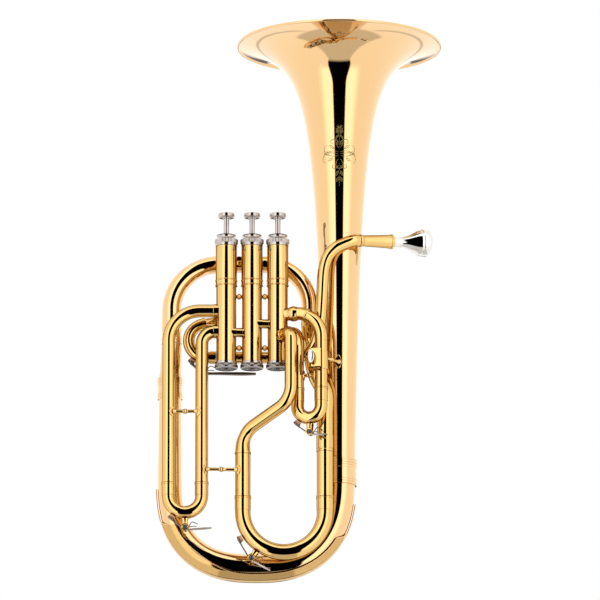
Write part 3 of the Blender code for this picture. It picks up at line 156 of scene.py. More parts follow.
# Slides. A tube starts some way from its casing's axis. A bow's legs run straight for a length, and its
# inner legs reach up into the fixed ones.
LEG_RADIUS = 6.4
COLLAR_LIFT = 0.35
BOW_FERRULE_LENGTH = 13.5
SECOND_Z = (268.0, 243.0)
SECOND_START = 10.8
SECOND_JOINT_DEPTH = 31.0
SECOND_STRAIGHT = 5.0
SECOND_INNER = 16.0
THIRD_X = (-85.75, -52.75)
THIRD_START = 10.6
THIRD_JOINT_Z = 95.3
THIRD_STRAIGHT = 13.5
THIRD_INNER = 120.0
THIRD_UPPER = (271.9, 31.0)
THIRD_LOWER = (250.7, 13.0)
FIRST_X = (42.75, 66.25)
FIRST_START = 10.4
FIRST_DEPTHS = (-6.0, -12.4)
FIRST_TOP_Z = 232.4
FIRST_JOINT_Z = 190.2
FIRST_STRAIGHT = 18.2
FIRST_INNER = 34.0
FIRST_UPPER = (267.8, 26.0)
FIRST_LOWER_Z = 250.0
FIRST_LOWER_ANGLE = math.radians(15)
FIRST_LOWER_VIA = ((-2.2, 8.0, 15.6), (0.0, 3.6, 8.4))
TUNING_X = (-11.75, 70.25)
TUNING_DEPTH = 3.2
TUNING_RADII = (7.65, 8.3)
TUNING_JOINT_Z = 81.5
TUNING_STRAIGHT = 15.0
TUNING_INNER = 40.0
TUNING_TOPS = (125.3, 127.5)
RETURN_FERRULE_Z = 144.0
RETURN_HEIGHTS = (248.0, 230.0, 208.0, 188.0)
RETURN_CLEARANCES = (1.7, 1.2, 1.8, 2.0)
RETURN_ANGLES = (183, 189, 214, 238)

# Outlet, leadpipe, receiver and mouthpiece
OUTLET_RADIUS = 6.4
OUTLET_START = 10.6
OUTLET = (36.25, -22.5, 245.0)
OUTLET_LOWER_Z = 175.6
OUTLET_JOIN_Z = 147.0
PIPE_RADIUS = 5.8
RUN_Z = 227.9
RUN_DEPTH = 16.5
PIPE_HEIGHTS = (341.4, 336.8, 329.0, 319.8, 308.0, 287.0, 263.0, 241.5, 230.5)
PIPE_CLEARANCES = (2.2, 2.6, 4.3, 5.8, 6.3, 6.0, 5.5, 7.8, 13.6)
PIPE_ANGLES = (280.5, 263.6, 250.3, 243.8, 240.1, 236.6, 230.7, 222.5, 211)
LOOP_X = -48.75
LOOP_BEND = 17.3
LOOP_END_Z = 261.5
LOOP_START = 10.8
RECEIVER_X = 104.5
RECEIVER_Z = 344.9
RECEIVER_RISE = math.radians(4.4)
RECEIVER_SWEEP = math.radians(25)
RECEIVER_LENGTH = 36.8
SHANK_INSERTION = 25.0
MOUTHPIECE_LENGTH = 64.5
MOUTHPIECE_RIM = 14.1

# Braces, water keys and lyre holder
THIRD_BRACE_Z = 167.8
TUNING_BRACE_Z = 108.6
FIRST_BRACE_Z = 203.5
BRACE_FORWARD = 4.3
PLATE_TURN = math.radians(14)
BELL_BRACE_Z = 222.0
BELL_BRACE_SIDE = -1.2
KEY_LIFT = (8.6, 8.0, 9.4, 8.6)
KEY_ANGLE = (-88.3, -124.5, -90, -96)
KEY_CORK_TURN = (37.7, 23, 32, 28)
EAR_RADIUS = 2.9
KEY_COIL_RADIUS = 2.75
KEY_WIRE = 0.42
KEY_TOUCH = ((18.0, -3.0), (18.8, -12.4), (26.5, 0.0), (53.3, -2.6))
LYRE_X = 61.6
LYRE_Z = 217.9
LYRE_SIZE = (10.6, 8.4, 19.0)
LYRE_SLOT = (6.6, 5.4)
LYRE_LEAN = math.radians(-13)
SCREW_TURN = math.radians(-30)
SCREW_SIDE = -0.8

# What the camera looks at, in metres
CAMERA_AIM = (0.04525, -0.028, 0.2832)


class HornFinishes(PropertyGroup):
    """Colours and polish of the horn's metals."""

    bell_brass: FloatVectorProperty(
        name="Bell brass", description="Lacquered gold brass of the bell and large tubes",
        default=(0.72, 0.475, 0.228), **COLOUR,
    )
    tube_brass: FloatVectorProperty(
        name="Tube brass", description="Lacquered yellow brass of the slides and leadpipe",
        default=(0.67, 0.445, 0.165), **COLOUR,
    )
    guard_brass: FloatVectorProperty(
        name="Guard brass", description="Lacquered brass of the bottom bow's guard",
        default=(0.53, 0.335, 0.125), **COLOUR,
    )
    casing_brass: FloatVectorProperty(
        name="Casing brass", description="Lacquered brass of the valve casings",
        default=(0.69, 0.465, 0.18), **COLOUR,
    )
    nickel: FloatVectorProperty(
        name="Nickel", description="Nickel plate of the caps, buttons and touches",
        default=(0.46, 0.42, 0.395), **COLOUR,
    )
    silver: FloatVectorProperty(
        name="Silver", description="Silver plate of the mouthpiece and the lyre screw",
        default=(0.70, 0.685, 0.665), **COLOUR,
    )
    steel: FloatVectorProperty(
        name="Steel", description="Steel of the screws and springs", default=(0.11, 0.1, 0.095), **COLOUR
    )
    cork: FloatVectorProperty(
        name="Cork", description="Cork in the water keys' cups", default=(0.42, 0.21, 0.10), **COLOUR
    )
    # Painted shade: nickel far darker than plate, standing for the shade on the caps' domes and grips and on
    # the fourth key's touch.
    dark_nickel: FloatVectorProperty(
        name="Dark nickel", description="Dulled nickel of the caps' domes and grips",
        default=(0.24, 0.215, 0.2), **COLOUR,
    )
    # Very dark brown nickel, well below plain plate, for the water keys' arms and cups.
    tarnished_nickel: FloatVectorProperty(
        name="Tarnished nickel", description="Brown nickel of the water keys' arms and cups",
        default=(0.15, 0.12, 0.1), **COLOUR,
    )
    # Painted shade: a dark brown grazing tint on the tubes' and casings' brass. It darkens their reflections
    # along the outlines in place of the dark surroundings seen there.
    edge_shade_tint: FloatVectorProperty(
        name="Edge brass", description="Tint of the tubes' brass where it turns away",
        default=(0.13, 0.045, 0.01), **COLOUR,
    )
    polish: FloatProperty(
        name="Polish", description="Roughness of the lacquered brass", default=0.045, **FACTOR
    )
    coat: FloatProperty(
        name="Bell's lacquer", description="Strength of the clear lacquer over the large tubes",
        default=0.6, **FACTOR,
    )
    tube_coat: FloatProperty(
        name="Tubes' lacquer", description="Strength of the clear lacquer over the slim tubes",
        default=0.12, **FACTOR,
    )


class HornTrim(PropertyGroup):
    """Sizes of the horn's fine trim."""

    tube_sides: IntProperty(name="Tube sides", description="Facets round a tube", min=16, max=96, default=40)
    turning_steps: IntProperty(
        name="Turning steps", description="Facets round a turned piece", min=24, max=192, default=72
    )
    knurls: IntProperty(
        name="Knurls", description="Ridges round a valve cap's grip", min=12, max=96, default=54
    )
    scroll_line: FloatProperty(
        name="Scroll line", description="Width of the engraved line on the bell", unit="LENGTH",
        min=0.0001, max=0.002, default=0.0004,
    )


class HornStudio(PropertyGroup):
    """Camera and light round the horn."""

    distance: FloatProperty(
        name="Distance", description="From the camera to the horn", unit="LENGTH", min=1, max=20, default=12.0
    )
    lens: FloatProperty(
        name="Lens", description="Focal length in millimetres", unit="CAMERA", min=20, max=1200, default=720.0
    )
    rise: FloatProperty(
        name="Rise", description="The camera's angle above the horn, negative from below",
        default=math.radians(-14), **ANGLE,
    )
    slot: FloatProperty(
        name="Dark slot", description="Half width of the dark gap between the soft boxes",
        default=math.radians(18.5), **ANGLE,
    )
    slot_foot: FloatProperty(
        name="Dark slot's foot", description="Half width of the dark gap at its foot",
        default=math.radians(31), **ANGLE,
    )
    walls: FloatProperty(
        name="Walls", description="Brightness of the white room", min=0, max=10, default=1.35
    )
    boxes: FloatProperty(
        name="Soft boxes", description="Brightness of the soft boxes beside the camera, times the walls",
        min=0, max=10, default=1.48,
    )
    ground: FloatProperty(
        name="Ground", description="Brightness of the strip of floor between the soft boxes, times the walls",
        min=0, max=10, default=0.62,
    )
    floor_drop: FloatProperty(
        name="Floor drop", description="Depth of the floor below the horn", unit="LENGTH", default=2.8
    )


# Points, routes and frames


def at(x, depth, z):
    """A point by its depth from the valves' plane."""
    return np.array((x, VALVE_Y + depth, z), float)


def unit(vector):
    vector = np.asarray(vector, float)
    return vector / np.linalg.norm(vector)


def turned_by(vector, axis, angle):
    """A vector turned about an axis."""
    axis = unit(axis)
    return (
        vector * math.cos(angle)
        + np.cross(axis, vector) * math.sin(angle)
        + axis * np.dot(axis, vector) * (1 - math.cos(angle))
    )


def filleted(corners):
    """Points along straight runs joined by arcs. Each corner is a point and its bend radius."""
    points = [np.asarray(corners[0][0], float)]
    for before, corner, after in zip(corners, corners[1:], corners[2:]):
        middle, radius = np.asarray(corner[0], float), corner[1]
        into, out = unit(middle - before[0]), unit(np.asarray(after[0], float) - middle)
        turn = math.acos(max(-1.0, min(1.0, float(np.dot(into, out)))))
        start = middle - into * radius * math.tan(turn / 2)
        centre = middle + unit(out - into) * radius / math.cos(turn / 2)
        axis = np.cross(into, out)
        steps = max(3, math.ceil(turn / ARC_STEP))
        for index in range(steps + 1):
            point = centre + turned_by(start - centre, axis, turn * index / steps)
            if np.linalg.norm(point - points[-1]) > 0.05:
                points.append(point)
    points.append(np.asarray(corners[-1][0], float))
    return np.array(points)


def flowing(points, steps=10):
    """A smooth curve through the given points."""
    points = [np.asarray(point, float) for point in points]
    ends = [2 * points[0] - points[1], *points, 2 * points[-1] - points[-2]]
    route = []
    for p0, p1, p2, p3 in zip(ends, ends[1:], ends[2:], ends[3:]):
        for step in range(steps):
            t = step / steps
            route.append(
                0.5 * (2 * p1 + (p2 - p0) * t + (2 * p0 - 5 * p1 + 4 * p2 - p3) * t**2)
                + 0.5 * (3 * p1 - p0 - 3 * p2 + p3) * t**3
            )
    route.append(points[-1])
    return np.array(route)


def lengths_along(route):
    return np.concatenate([[0.0], np.cumsum(np.linalg.norm(np.diff(route, axis=0), axis=1))])


def stations_on(route, along, stations):
    """The route's points at some distances along it."""
    return np.stack([np.interp(stations, along, route[:, axis]) for axis in range(3)], axis=1)


def trimmed(route, start):
    """The route without a length at its start."""
    along = lengths_along(route)
    kept = [distance for distance in along if start + 0.05 < distance < along[-1] - 0.05]
    return stations_on(route, along, np.array([start, *kept, along[-1]]))


def with_radii(route, marks):
    """Points and radii of a route, with a point at each mark on it."""
    route = np.asarray(route, float)
    along = lengths_along(route)
    total = along[-1]
    marks = [(distance if distance >= 0 else total + distance, radius) for distance, radius in marks]
    extra = [distance for distance, _ in marks if 0.02 < distance < total - 0.02]
    kept = [d for d in along[1:-1] if all(abs(d - other) > 0.12 for other in extra)]
    stations = np.array(sorted([0.0, total, *kept, *extra]))
    return stations_on(route, along, stations), np.interp(stations, *zip(*marks))


def axes_along(points, reference=None):
    """Two axes across the route at each point, carried along without twist."""
    tangents = np.gradient(points, axis=0)
    tangents /= np.linalg.norm(tangents, axis=1)[:, None]
    first = reference if reference is not None else (0, 0, 1) if abs(tangents[0][2]) < 0.9 else (0, 1, 0)
    side = unit(np.cross(tangents[0], np.cross(first, tangents[0])))
    sides = []
    for tangent in tangents:
        side = unit(side - tangent * np.dot(side, tangent))
        sides.append(side)
    sides = np.array(sides)
    return sides, np.cross(tangents, sides)


def rings_round(points, radii, sides, reference=None, squash=1.0):
    """A ring of points round each point of a route. squash narrows the second axis."""
    across, over = axes_along(points, reference)
    angles = np.linspace(0, 2 * math.pi, sides, endpoint=False)
    ring = across[:, None, :] * np.cos(angles)[None, :, None]
    ring = ring + over[:, None, :] * np.sin(angles)[None, :, None] * squash
    return points[:, None, :] + ring * np.asarray(radii, float)[:, None, None]


def coped(rings, direction, centre, radius):
    """Moves the first ring along the tube until it lies on an upright cylinder."""
    direction = unit(direction)
    flat = direction[:2]
    for vertex in rings[0]:
        offset = vertex[:2] - np.asarray(centre)
        a, b, c = flat @ flat, offset @ flat, offset @ offset - radius**2
        vertex += direction * (-b + math.sqrt(max(0.0, b * b - a * c))) / a


# Meshes and pieces


def skin(rings, looped=False, capped=False):
    """Faces between rings. A looped skin joins the last ring to the first one."""
    count, sides = len(rings), len(rings[0])
    faces = []
    for row in range(count if looped else count - 1):
        after = (row + 1) % count
        for side in range(sides):
            near, far = side, (side + 1) % sides
            faces.append((row * sides + near, row * sides + far, after * sides + far, after * sides + near))
    if capped:
        faces.append(tuple(range(sides - 1, -1, -1)))
        faces.append(tuple((count - 1) * sides + side for side in range(sides)))
    return faces


def solid(rings):
    """Points and faces of rings that are closed over at both ends."""
    rings = np.array(rings)
    return rings, skin(rings, capped=True)


def joined(parts):
    """Several (points, faces) as one."""
    points, faces, start = [], [], 0
    for part_points, part_faces in parts:
        part_points = np.asarray(part_points, float).reshape(-1, 3)
        points.append(part_points)
        faces.extend(tuple(index + start for index in face) for face in part_faces)
        start += len(part_points)
    return np.concatenate(points), faces


def tube_skin(route, marks, cope=None):
    """Points and faces of a hollow tube, closed over its wall at both ends."""
    sides = bpy.context.scene.horn_trim.tube_sides
    points, radii = with_radii(route, marks)
    walls = [rings_round(points, radii, sides), rings_round(points, radii - WALL, sides)]
    if cope:
        for wall in walls:
            coped(wall, points[1] - points[0], *cope)
    rings = np.concatenate([walls[0], walls[1][::-1]])
    return rings, skin(rings, looped=True)


def wire_skin(route, radii, sides=8, reference=None, squash=1.0):
    """Points and faces of a solid wire or strip."""
    route = np.asarray(route, float)
    radii = np.full(len(route), radii) if np.isscalar(radii) else radii
    return solid(rings_round(route, radii, sides, reference, squash))


def turned_skin(profile, origin, axis=(0, 0, 1), steps=None, hollow=True, knurl=None):
    """Points and faces of a profile turned about an axis. A hollow one joins its last ring to its first.

    knurl is (lowest height, highest height, depth, ridges) for a ridged grip.
    """
    steps = 2 * knurl[3] if knurl else steps or bpy.context.scene.horn_trim.turning_steps
    turn = np.array(Vector((0, 0, 1)).rotation_difference(Vector(axis).normalized()).to_matrix())
    angles = np.linspace(0, 2 * math.pi, steps, endpoint=False)
    rings = np.empty((len(profile), steps, 3))
    for row, (radius, height) in enumerate(profile):
        reach = np.full(steps, float(radius))
        if knurl and knurl[0] <= height <= knurl[1]:
            reach[::2] -= knurl[2]
        rings[row, :, 0] = reach * np.cos(angles)
        rings[row, :, 1] = reach * np.sin(angles)
        rings[row, :, 2] = height
    rings = rings @ turn.T + np.asarray(origin, float)
    return rings, skin(rings, looped=hollow, capped=not hollow)


def stepped(radius, height, *offsets):
    """Points of a profile, as offsets from one place on it."""
    return [(radius + out, height + up) for out, up in offsets]


def bead(distance, radius, width, height):
    """Marks of a small rounded ring on a tube."""
    half = width / 2
    return stepped(
        distance, radius, (-half, 0), (-half + 0.02, height * 0.55), (-half * 0.5, height),
        (half * 0.5, height), (half - 0.02, height * 0.55), (half, 0),
    )


def groove(distance, radius, depth):
    """Marks of a fine cut line on a tube."""
    return stepped(distance, radius, (-0.3, 0), (-0.25, -depth), (0.25, -depth), (0.3, 0))


def piece(name, form, finish, sharp=34):
    """A new object from points in millimetres and faces, in one of the finishes."""
    points, faces = form
    mesh = bpy.data.meshes.new(name)
    mesh.from_pydata((np.asarray(points, float).reshape(-1, 3) * MM).tolist(), [], faces)
    mesh.validate()
    shape = bmesh.new()
    shape.from_mesh(mesh)
    bmesh.ops.recalc_face_normals(shape, faces=shape.faces)
    shape.to_mesh(mesh)
    shape.free()
    mesh.materials.append(finish_named(finish))
    mesh.shade_smooth()
    mesh.set_sharp_from_angle(angle=math.radians(sharp))
    made = bpy.data.objects.new(name, mesh)
    bpy.context.scene.collection.objects.link(made)
    return made


def fitted(name, form, finish, *nodes, body=None, sharp=34):
    """A piece that rides on its body, in place of the named CAD nodes."""
    made = piece(name, form, finish, sharp)
    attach(made, body or NODE_BODY[nodes[0]])
    if nodes:
        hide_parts(*nodes)
    return made


def turned(name, profile, origin, finish, *nodes, body=None, **spin):
    """A turned piece, with turned_skin's own settings."""
    fitted(name, turned_skin(profile, origin, **spin), finish, *nodes, body=body)


def brass_tube(name, route, marks, node, finish="tube_lacquer", cope=None):
    """A lacquered tube in place of its CAD node."""
    fitted(name, tube_skin(route, marks, cope), finish, node)


# Finishes


class Nodes:
    """A node tree, with short ways to add its nodes."""

    def __init__(self, tree):
        self.tree = tree

    def node(self, kind, **settings):
        made = self.tree.nodes.new(kind)
        for key, value in settings.items():
            setattr(made, key, value)
        return made

    def feed(self, socket, value):
        """Links an output to a socket, or sets the socket to a number or a colour."""
        if isinstance(value, bpy.types.NodeSocket):
            self.tree.links.new(value, socket)
        else:
            socket.default_value = value if isinstance(value, (int, float)) else (*value, 1.0)

    def ranged(self, value, *limits):
        """An output taken smoothly from low and high to a new low and a new high."""
        made = self.node("ShaderNodeMapRange", interpolation_type="SMOOTHSTEP")
        for socket, number in zip(("Value", "From Min", "From Max", "To Min", "To Max"), (value, *limits)):
            self.feed(made.inputs[socket], number)
        return made.outputs["Result"]


class Finish(Nodes):
    """A material, with short ways to build its texture."""

    def __init__(self, name, colour, metallic, roughness):
        self.material = bpy.data.materials.new(name)
        self.material.use_nodes = True
        self.material.diffuse_color = (*colour, 1.0)
        super().__init__(self.material.node_tree)
        self.shader = self.tree.nodes["Principled BSDF"]
        self.show("Base Color", colour)
        self.show("Metallic", metallic)
        self.show("Roughness", roughness)
        self.place = self.node("ShaderNodeTexCoord").outputs["Object"]

    def show(self, socket, value):
        """Sets or feeds a socket of the shader."""
        self.feed(self.shader.inputs[socket], value)

    def drawn_out(self, scale):
        """The piece's own coordinates, drawn out along its height."""
        mapping = self.node("ShaderNodeMapping")
        mapping.inputs["Scale"].default_value = (1.0, 1.0, scale)
        self.feed(mapping.inputs["Vector"], self.place)
        return mapping.outputs["Vector"]

    def noise(self, scale, detail=3.0, roughness=0.55, vector=None):
        made = self.node("ShaderNodeTexNoise")
        self.feed(made.inputs["Scale"], scale)
        self.feed(made.inputs["Detail"], detail)
        self.feed(made.inputs["Roughness"], roughness)
        self.feed(made.inputs["Vector"], vector or self.place)
        return made.outputs["Fac"]

    def mixed(self, factor, first, second):
        """One colour over another by a factor. Either may be a colour or an output."""
        made = self.node("ShaderNodeMix", data_type="RGBA")
        for socket, value in (("Factor", factor), (6, first), (7, second)):
            self.feed(made.inputs[socket], value)
        return made.outputs[2]

    def worn(self, tone, low, high, most, colour):
        """A tone with another colour along the edges."""
        edges = self.node("ShaderNodeNewGeometry").outputs["Pointiness"]
        return self.mixed(self.ranged(edges, low, high, 0.0, most), tone, colour)

    def bumped(self, *layers):
        """Bumps of (height, distance in millimetres), one over the other."""
        normal = None
        for height, distance in layers:
            made = self.node("ShaderNodeBump")
            self.feed(made.inputs["Strength"], 1.0)
            self.feed(made.inputs["Distance"], distance * MM)
            self.feed(made.inputs["Height"], height)
            if normal:
                self.feed(made.inputs["Normal"], normal)
            normal = made.outputs["Normal"]
        self.show("Normal", normal)
        return self.material


def shade(colour, factors):
    return tuple(max(0.0, min(1.0, part * factor)) for part, factor in zip(colour, factors))


def lacquered_brass(name, colour, coat, edge=(1.0, 1.0, 1.0), waviness=1.0):
    """Polished brass under clear lacquer, with drawn-out waves, fine wiping lines and worn edges. A dark edge
    tint paints shade along the outlines, where the tube turns away.
    """
    polish = bpy.context.scene.horn_finishes.polish
    finish = Finish(name, colour, 1.0, polish)
    broad = finish.ranged(finish.noise(9.0, 2.0), 0.3, 0.7, 0.0, 1.0)
    tone = finish.mixed(broad, shade(colour, (0.985, 0.955, 0.9)), colour)
    flecks = finish.ranged(finish.noise(520.0, 2.0, 0.7), 0.68, 0.8, 0.0, 0.35)
    tone = finish.mixed(flecks, tone, shade(colour, (0.86, 0.72, 0.5)))
    finish.show("Base Color", finish.worn(tone, 0.56, 0.7, 0.5, shade(colour, (1.02, 1.08, 1.3))))
    wiping = finish.noise(240.0, 4.0, 0.7, finish.drawn_out(0.12))
    finish.show("Roughness", finish.ranged(wiping, 0.25, 0.8, polish * 0.6, polish * 1.7))
    # edge is the specular tint at grazing angles; a dark one is painted shade along the outlines.
    for socket, value in (
        ("Coat Weight", coat), ("Specular Tint", edge), ("Coat Roughness", 0.03), ("Coat IOR", 1.45),
    ):
        finish.show(socket, value)
    return finish.bumped((finish.noise(34.0, 2.0), 0.03 * waviness), (wiping, 0.001 * waviness))


def plated(name, colour, roughness, wear, grain=1.0):
    """Nickel or silver plate, with cloudy tarnish, fine scratches and brighter edges."""
    finish = Finish(name, colour, 1.0, roughness)
    cloud = finish.ranged(finish.noise(60.0, 4.0, 0.6), 0.35, 0.7, 0.0, 1.0)
    tone = finish.mixed(cloud, shade(colour, (0.93, 0.9, 0.86)), colour)
    finish.show("Base Color", finish.worn(tone, 0.54, 0.66, 0.7, wear))
    lines = finish.noise(420.0, 5.0, 0.7, finish.drawn_out(0.2))
    finish.show("Roughness", finish.ranged(lines, 0.25, 0.8, roughness * 0.6, roughness * 1.6))
    return finish.bumped((finish.noise(90.0, 2.0), 0.02 * grain), (lines, 0.005 * grain))


def oiled_steel(name, colour):
    """Dark steel with an oily film and rubbed edges."""
    finish = Finish(name, colour, 1.0, 0.3)
    film = finish.ranged(finish.noise(180.0, 4.0), 0.3, 0.7, 0.0, 1.0)
    tone = finish.mixed(film, shade(colour, (0.6, 0.58, 0.56)), colour)
    finish.show("Base Color", finish.worn(tone, 0.53, 0.62, 0.8, (0.22, 0.21, 0.2)))
    finish.show("Roughness", finish.ranged(film, 0.0, 1.0, 0.22, 0.38))
    return finish.bumped((finish.noise(900.0, 3.0), 0.01))


def pressed_cork(name, colour):
    """Cork with dark pores and pale grains."""
    finish = Finish(name, colour, 0.0, 0.85)
    cells = finish.node("ShaderNodeTexVoronoi")
    finish.feed(cells.inputs["Scale"], 1500.0)
    finish.feed(cells.inputs["Vector"], finish.place)
    grains = cells.outputs["Distance"]
    pores = finish.ranged(finish.noise(2200.0, 3.0), 0.55, 0.72, 0.0, 1.0)
    tone = finish.mixed(finish.ranged(grains, 0.1, 0.6, 0.0, 1.0), colour, shade(colour, (1.5, 1.5, 1.4)))
    finish.show("Base Color", finish.mixed(pores, tone, shade(colour, (0.3, 0.25, 0.2))))
    return finish.bumped((grains, 0.15))


def engraved_line(name, colour):
    """The frosted, darker floor of an engraved line."""
    finish = Finish(name, colour, 1.0, 0.5)
    cuts = finish.noise(1500.0, 3.0, 0.7)
    dark, pale = shade(colour, (0.30, 0.36, 0.30)), shade(colour, (0.55, 0.64, 0.6))
    finish.show("Base Color", finish.mixed(finish.ranged(cuts, 0.3, 0.7, 0.0, 1.0), dark, pale))
    finish.show("Roughness", finish.ranged(cuts, 0.3, 0.7, 0.35, 0.6))
    return finish.bumped((cuts, 0.03))


def finish_named(name):
    """One of the horn's finishes, made the first time that it is asked for."""
    look = bpy.context.scene.horn_finishes
    maker, *settings = {
        "bell_lacquer": (lacquered_brass, look.bell_brass, look.coat),
        # The tubes' and casings' lacquers take the dark grazing tint, which is painted shade along their
        # outlines.
        "tube_lacquer": (lacquered_brass, look.tube_brass, look.tube_coat, look.edge_shade_tint, 0.5),
        "guard_lacquer": (lacquered_brass, look.guard_brass, look.tube_coat),
        "casing_lacquer": (lacquered_brass, look.casing_brass, look.tube_coat, look.edge_shade_tint, 0.4),
        "nickel_plate": (plated, look.nickel, 0.12, (0.62, 0.6, 0.58)),
        "dark_nickel": (plated, look.dark_nickel, 0.16, (0.45, 0.42, 0.4)),
        "tarnished_nickel": (plated, look.tarnished_nickel, 0.2, (0.24, 0.2, 0.17)),
        "silver_plate": (plated, look.silver, 0.05, (0.75, 0.74, 0.73), 0.5),
        "oiled_steel": (oiled_steel, look.steel),
        "pressed_cork": (pressed_cork, look.cork),
        "engraved_line": (engraved_line, look.bell_brass),
    }[name]
    return bpy.data.materials.get(name) or maker(name, *settings)


# Bell


def bell_radius(z):
    return RIM_RADIUS * math.sqrt(FLARE_DEPTH / (RIM_Z - z + FLARE_DEPTH))


def round_bell(radius, heights, angles, clearances):
    """Points of a tube that passes the bell."""
    points = []
    for z, angle, clearance in zip(heights, angles, clearances):
        reach = bell_radius(z) + radius + clearance
        turn = math.radians(angle)
        points.append(np.array((BELL_X + math.cos(turn) * reach, math.sin(turn) * reach, z)))
    return points


def on_bell(across, z):
    """A point just proud of the bell's front, by its distance round it from the middle."""
    reach = bell_radius(z) + ORNAMENT_LIFT
    angle = across / bell_radius(z)
    return (BELL_X + reach * math.sin(angle), -reach * math.cos(angle), z)


def scroll(start, heading, length, curl, steps=26):
    """A scroll's line that curls in on itself, as points across and up from the ornament's middle."""
    points = [np.array(start, float)]
    for step in range(steps):
        heading += curl * (0.35 + 2.2 * (step / steps) ** 2) / steps
        points.append(points[-1] + np.array((math.cos(heading), math.sin(heading))) * length / steps)
    return points


def leaf(root, lean, length, bulge):
    """A leaf's edge on one side of its rib, from its root to its tip."""
    along = np.array((math.cos(lean), math.sin(lean)))
    out = np.array((-along[1], along[0])) * bulge
    return [
        np.array(root) + along * length * share + out * math.sin(math.pi * share)
        for share in np.linspace(0, 1, 9)
    ]


def scroll_strokes():
    """The bell's ornament: long scrolls to both sides, smaller ones above, and a tail of leaves below."""
    strokes = [[np.array((0.0, low)), np.array((0.0, high))] for low, high in ((-33.0, -9.0), (6.0, 27.0))]
    half = []
    for start, length, heading, curl in (
        ((1.0, 2.2), 26, 16, -3.0), ((1.0, -1.6), 25, -14, 3.2), ((1.0, 0.4), 14, 3, 0.5),
        ((0.8, 6.0), 22, 48, 4.6), ((0.8, 12.0), 15, 55, -5.2), ((0.8, 17.0), 13, 62, 5.0),
        ((0.8, -5.0), 17, -42, -4.6), ((0.8, -12.0), 12, -58, 5.0),
    ):
        half.append(scroll(start, math.radians(heading), length, curl))
    for root, tilt, length in (
        ((5.0, 5.0), 38, 7.0), ((6.5, -4.0), -30, 6.0), ((1.5, 9.0), 70, 6.5), ((1.0, -17.0), -62, 6.0),
        ((0.6, -23.0), -66, 5.5), ((0.6, 21.0), 62, 5.5), ((10.0, 0.4), 4, 6.5),
    ):
        half += [leaf(root, math.radians(tilt), length, bulge) for bulge in (-0.9, 0.9)]
    for lean in (60, 76):
        reach = np.array((math.cos(math.radians(lean)), math.sin(math.radians(lean))))
        half.append([np.array((0.0, 24.0)) + reach * share for share in (1.0, 3.0, 5.5)])
    for side in (-1, 1):
        strokes += [[np.array((point[0] * side, point[1])) for point in line] for line in half]
    return strokes


class HORN_OT_bell(Operator):
    """Makes the bell, its rolled rim and the scroll ornament on its front"""

    bl_idname = "horn.bell"
    bl_label = "Bell"

    def execute(self, context):
        axis = (BELL_X, 0, 0)
        depths = [RIM_Z - BELL_FOOT_Z]
        while depths[-1] > 0.6:
            depths.append(max(depths[-1] * 0.93, depths[-1] - 12.0))
        outer = [(bell_radius(RIM_Z - depth), RIM_Z - depth) for depth in reversed(depths)]
        inner = [(radius - BELL_WALL, z) for radius, z in reversed(outer)]
        turned("bell_shell", [*outer, *inner], axis, "bell_lacquer", "bell", steps=BELL_STEPS)
        centre = RIM_RADIUS - BEAD_RADIUS
        angles = np.linspace(-math.pi, math.pi, 14, endpoint=False)
        profile = [(centre + BEAD_RADIUS * math.cos(a), RIM_Z + BEAD_RADIUS * math.sin(a)) for a in angles]
        rim = turned_skin(profile, axis, steps=BELL_STEPS)
        fitted("bell_rim", rim, "bell_lacquer", "bell", sharp=60)
        self.ornament(context.scene.horn_trim.scroll_line / MM)
        return {"FINISHED"}

    def ornament(self, width):
        """Thin lines just proud of the bell's front."""
        parts = []
        for stroke in scroll_strokes():
            line = np.array(stroke)
            tangents = np.gradient(line, axis=0)
            tangents /= np.linalg.norm(tangents, axis=1)[:, None]
            normals = np.stack([-tangents[:, 1], tangents[:, 0]], axis=1)
            taper = np.sin(np.linspace(0.35, math.pi - 0.25, len(line)))[:, None] * width
            pairs = zip(line + normals * taper, line - normals * taper)
            rings = np.array([[on_bell(x, ORNAMENT_Z + z) for x, z in pair] for pair in pairs])
            parts.append((rings, [(i, i + 1, i + 3, i + 2) for i in range(0, 2 * len(line) - 2, 2)]))
        fitted("bell_ornament", joined(parts), "engraved_line", body="horn")


# Bottom bow, guard, ferrules, branch, top bow and return tube


def bow_middle_radius():
    return 0.55 * bell_radius(BELL_FOOT_Z) + 0.45 * BRANCH_LOW_RADIUS


def bow_drop():
    return BOW_CENTRE_Z - bow_middle_radius() - GAP - GUARD_STAND_OFF - GUARD_THICKNESS


def bow_point(turn):
    """A point on the bottom bow's centreline: 0 at the bell's side, pi at the left branch."""
    power = 2 / BOW_SQUARENESS
    across = math.copysign(abs(math.cos(turn)) ** power, math.cos(turn))
    return np.array((BELL_X * across, 0, BOW_CENTRE_Z - bow_drop() * abs(math.sin(turn)) ** power))


def bow_radius(turn):
    low, half = bow_middle_radius(), math.pi / 2
    start, end = bell_radius(BELL_FOOT_Z), BRANCH_LOW_RADIUS + 0.9
    if turn < half:
        return start + (low - start) * turn / half
    return low + (end - low) * (turn - half) / half


def eased(value, low, high):
    """0 up to low and 1 from high, with a smooth rise between them."""
    share = max(0.0, min(1.0, (value - low) / (high - low)))
    return share * share * (3 - 2 * share)


def guard_half_angle(share):
    """How far the guard reaches round the bow: wider towards the branch, a narrow tongue at both ends."""
    bell_side, branch_side = GUARD_HALF_ANGLES
    full = bell_side + (branch_side - bell_side) * eased(share, *GUARD_WIDENING)
    fullness = eased(min(share, 1 - share), *GUARD_TONGUE)
    return GUARD_TIP_HALF_ANGLE + (full - GUARD_TIP_HALF_ANGLE) * fullness


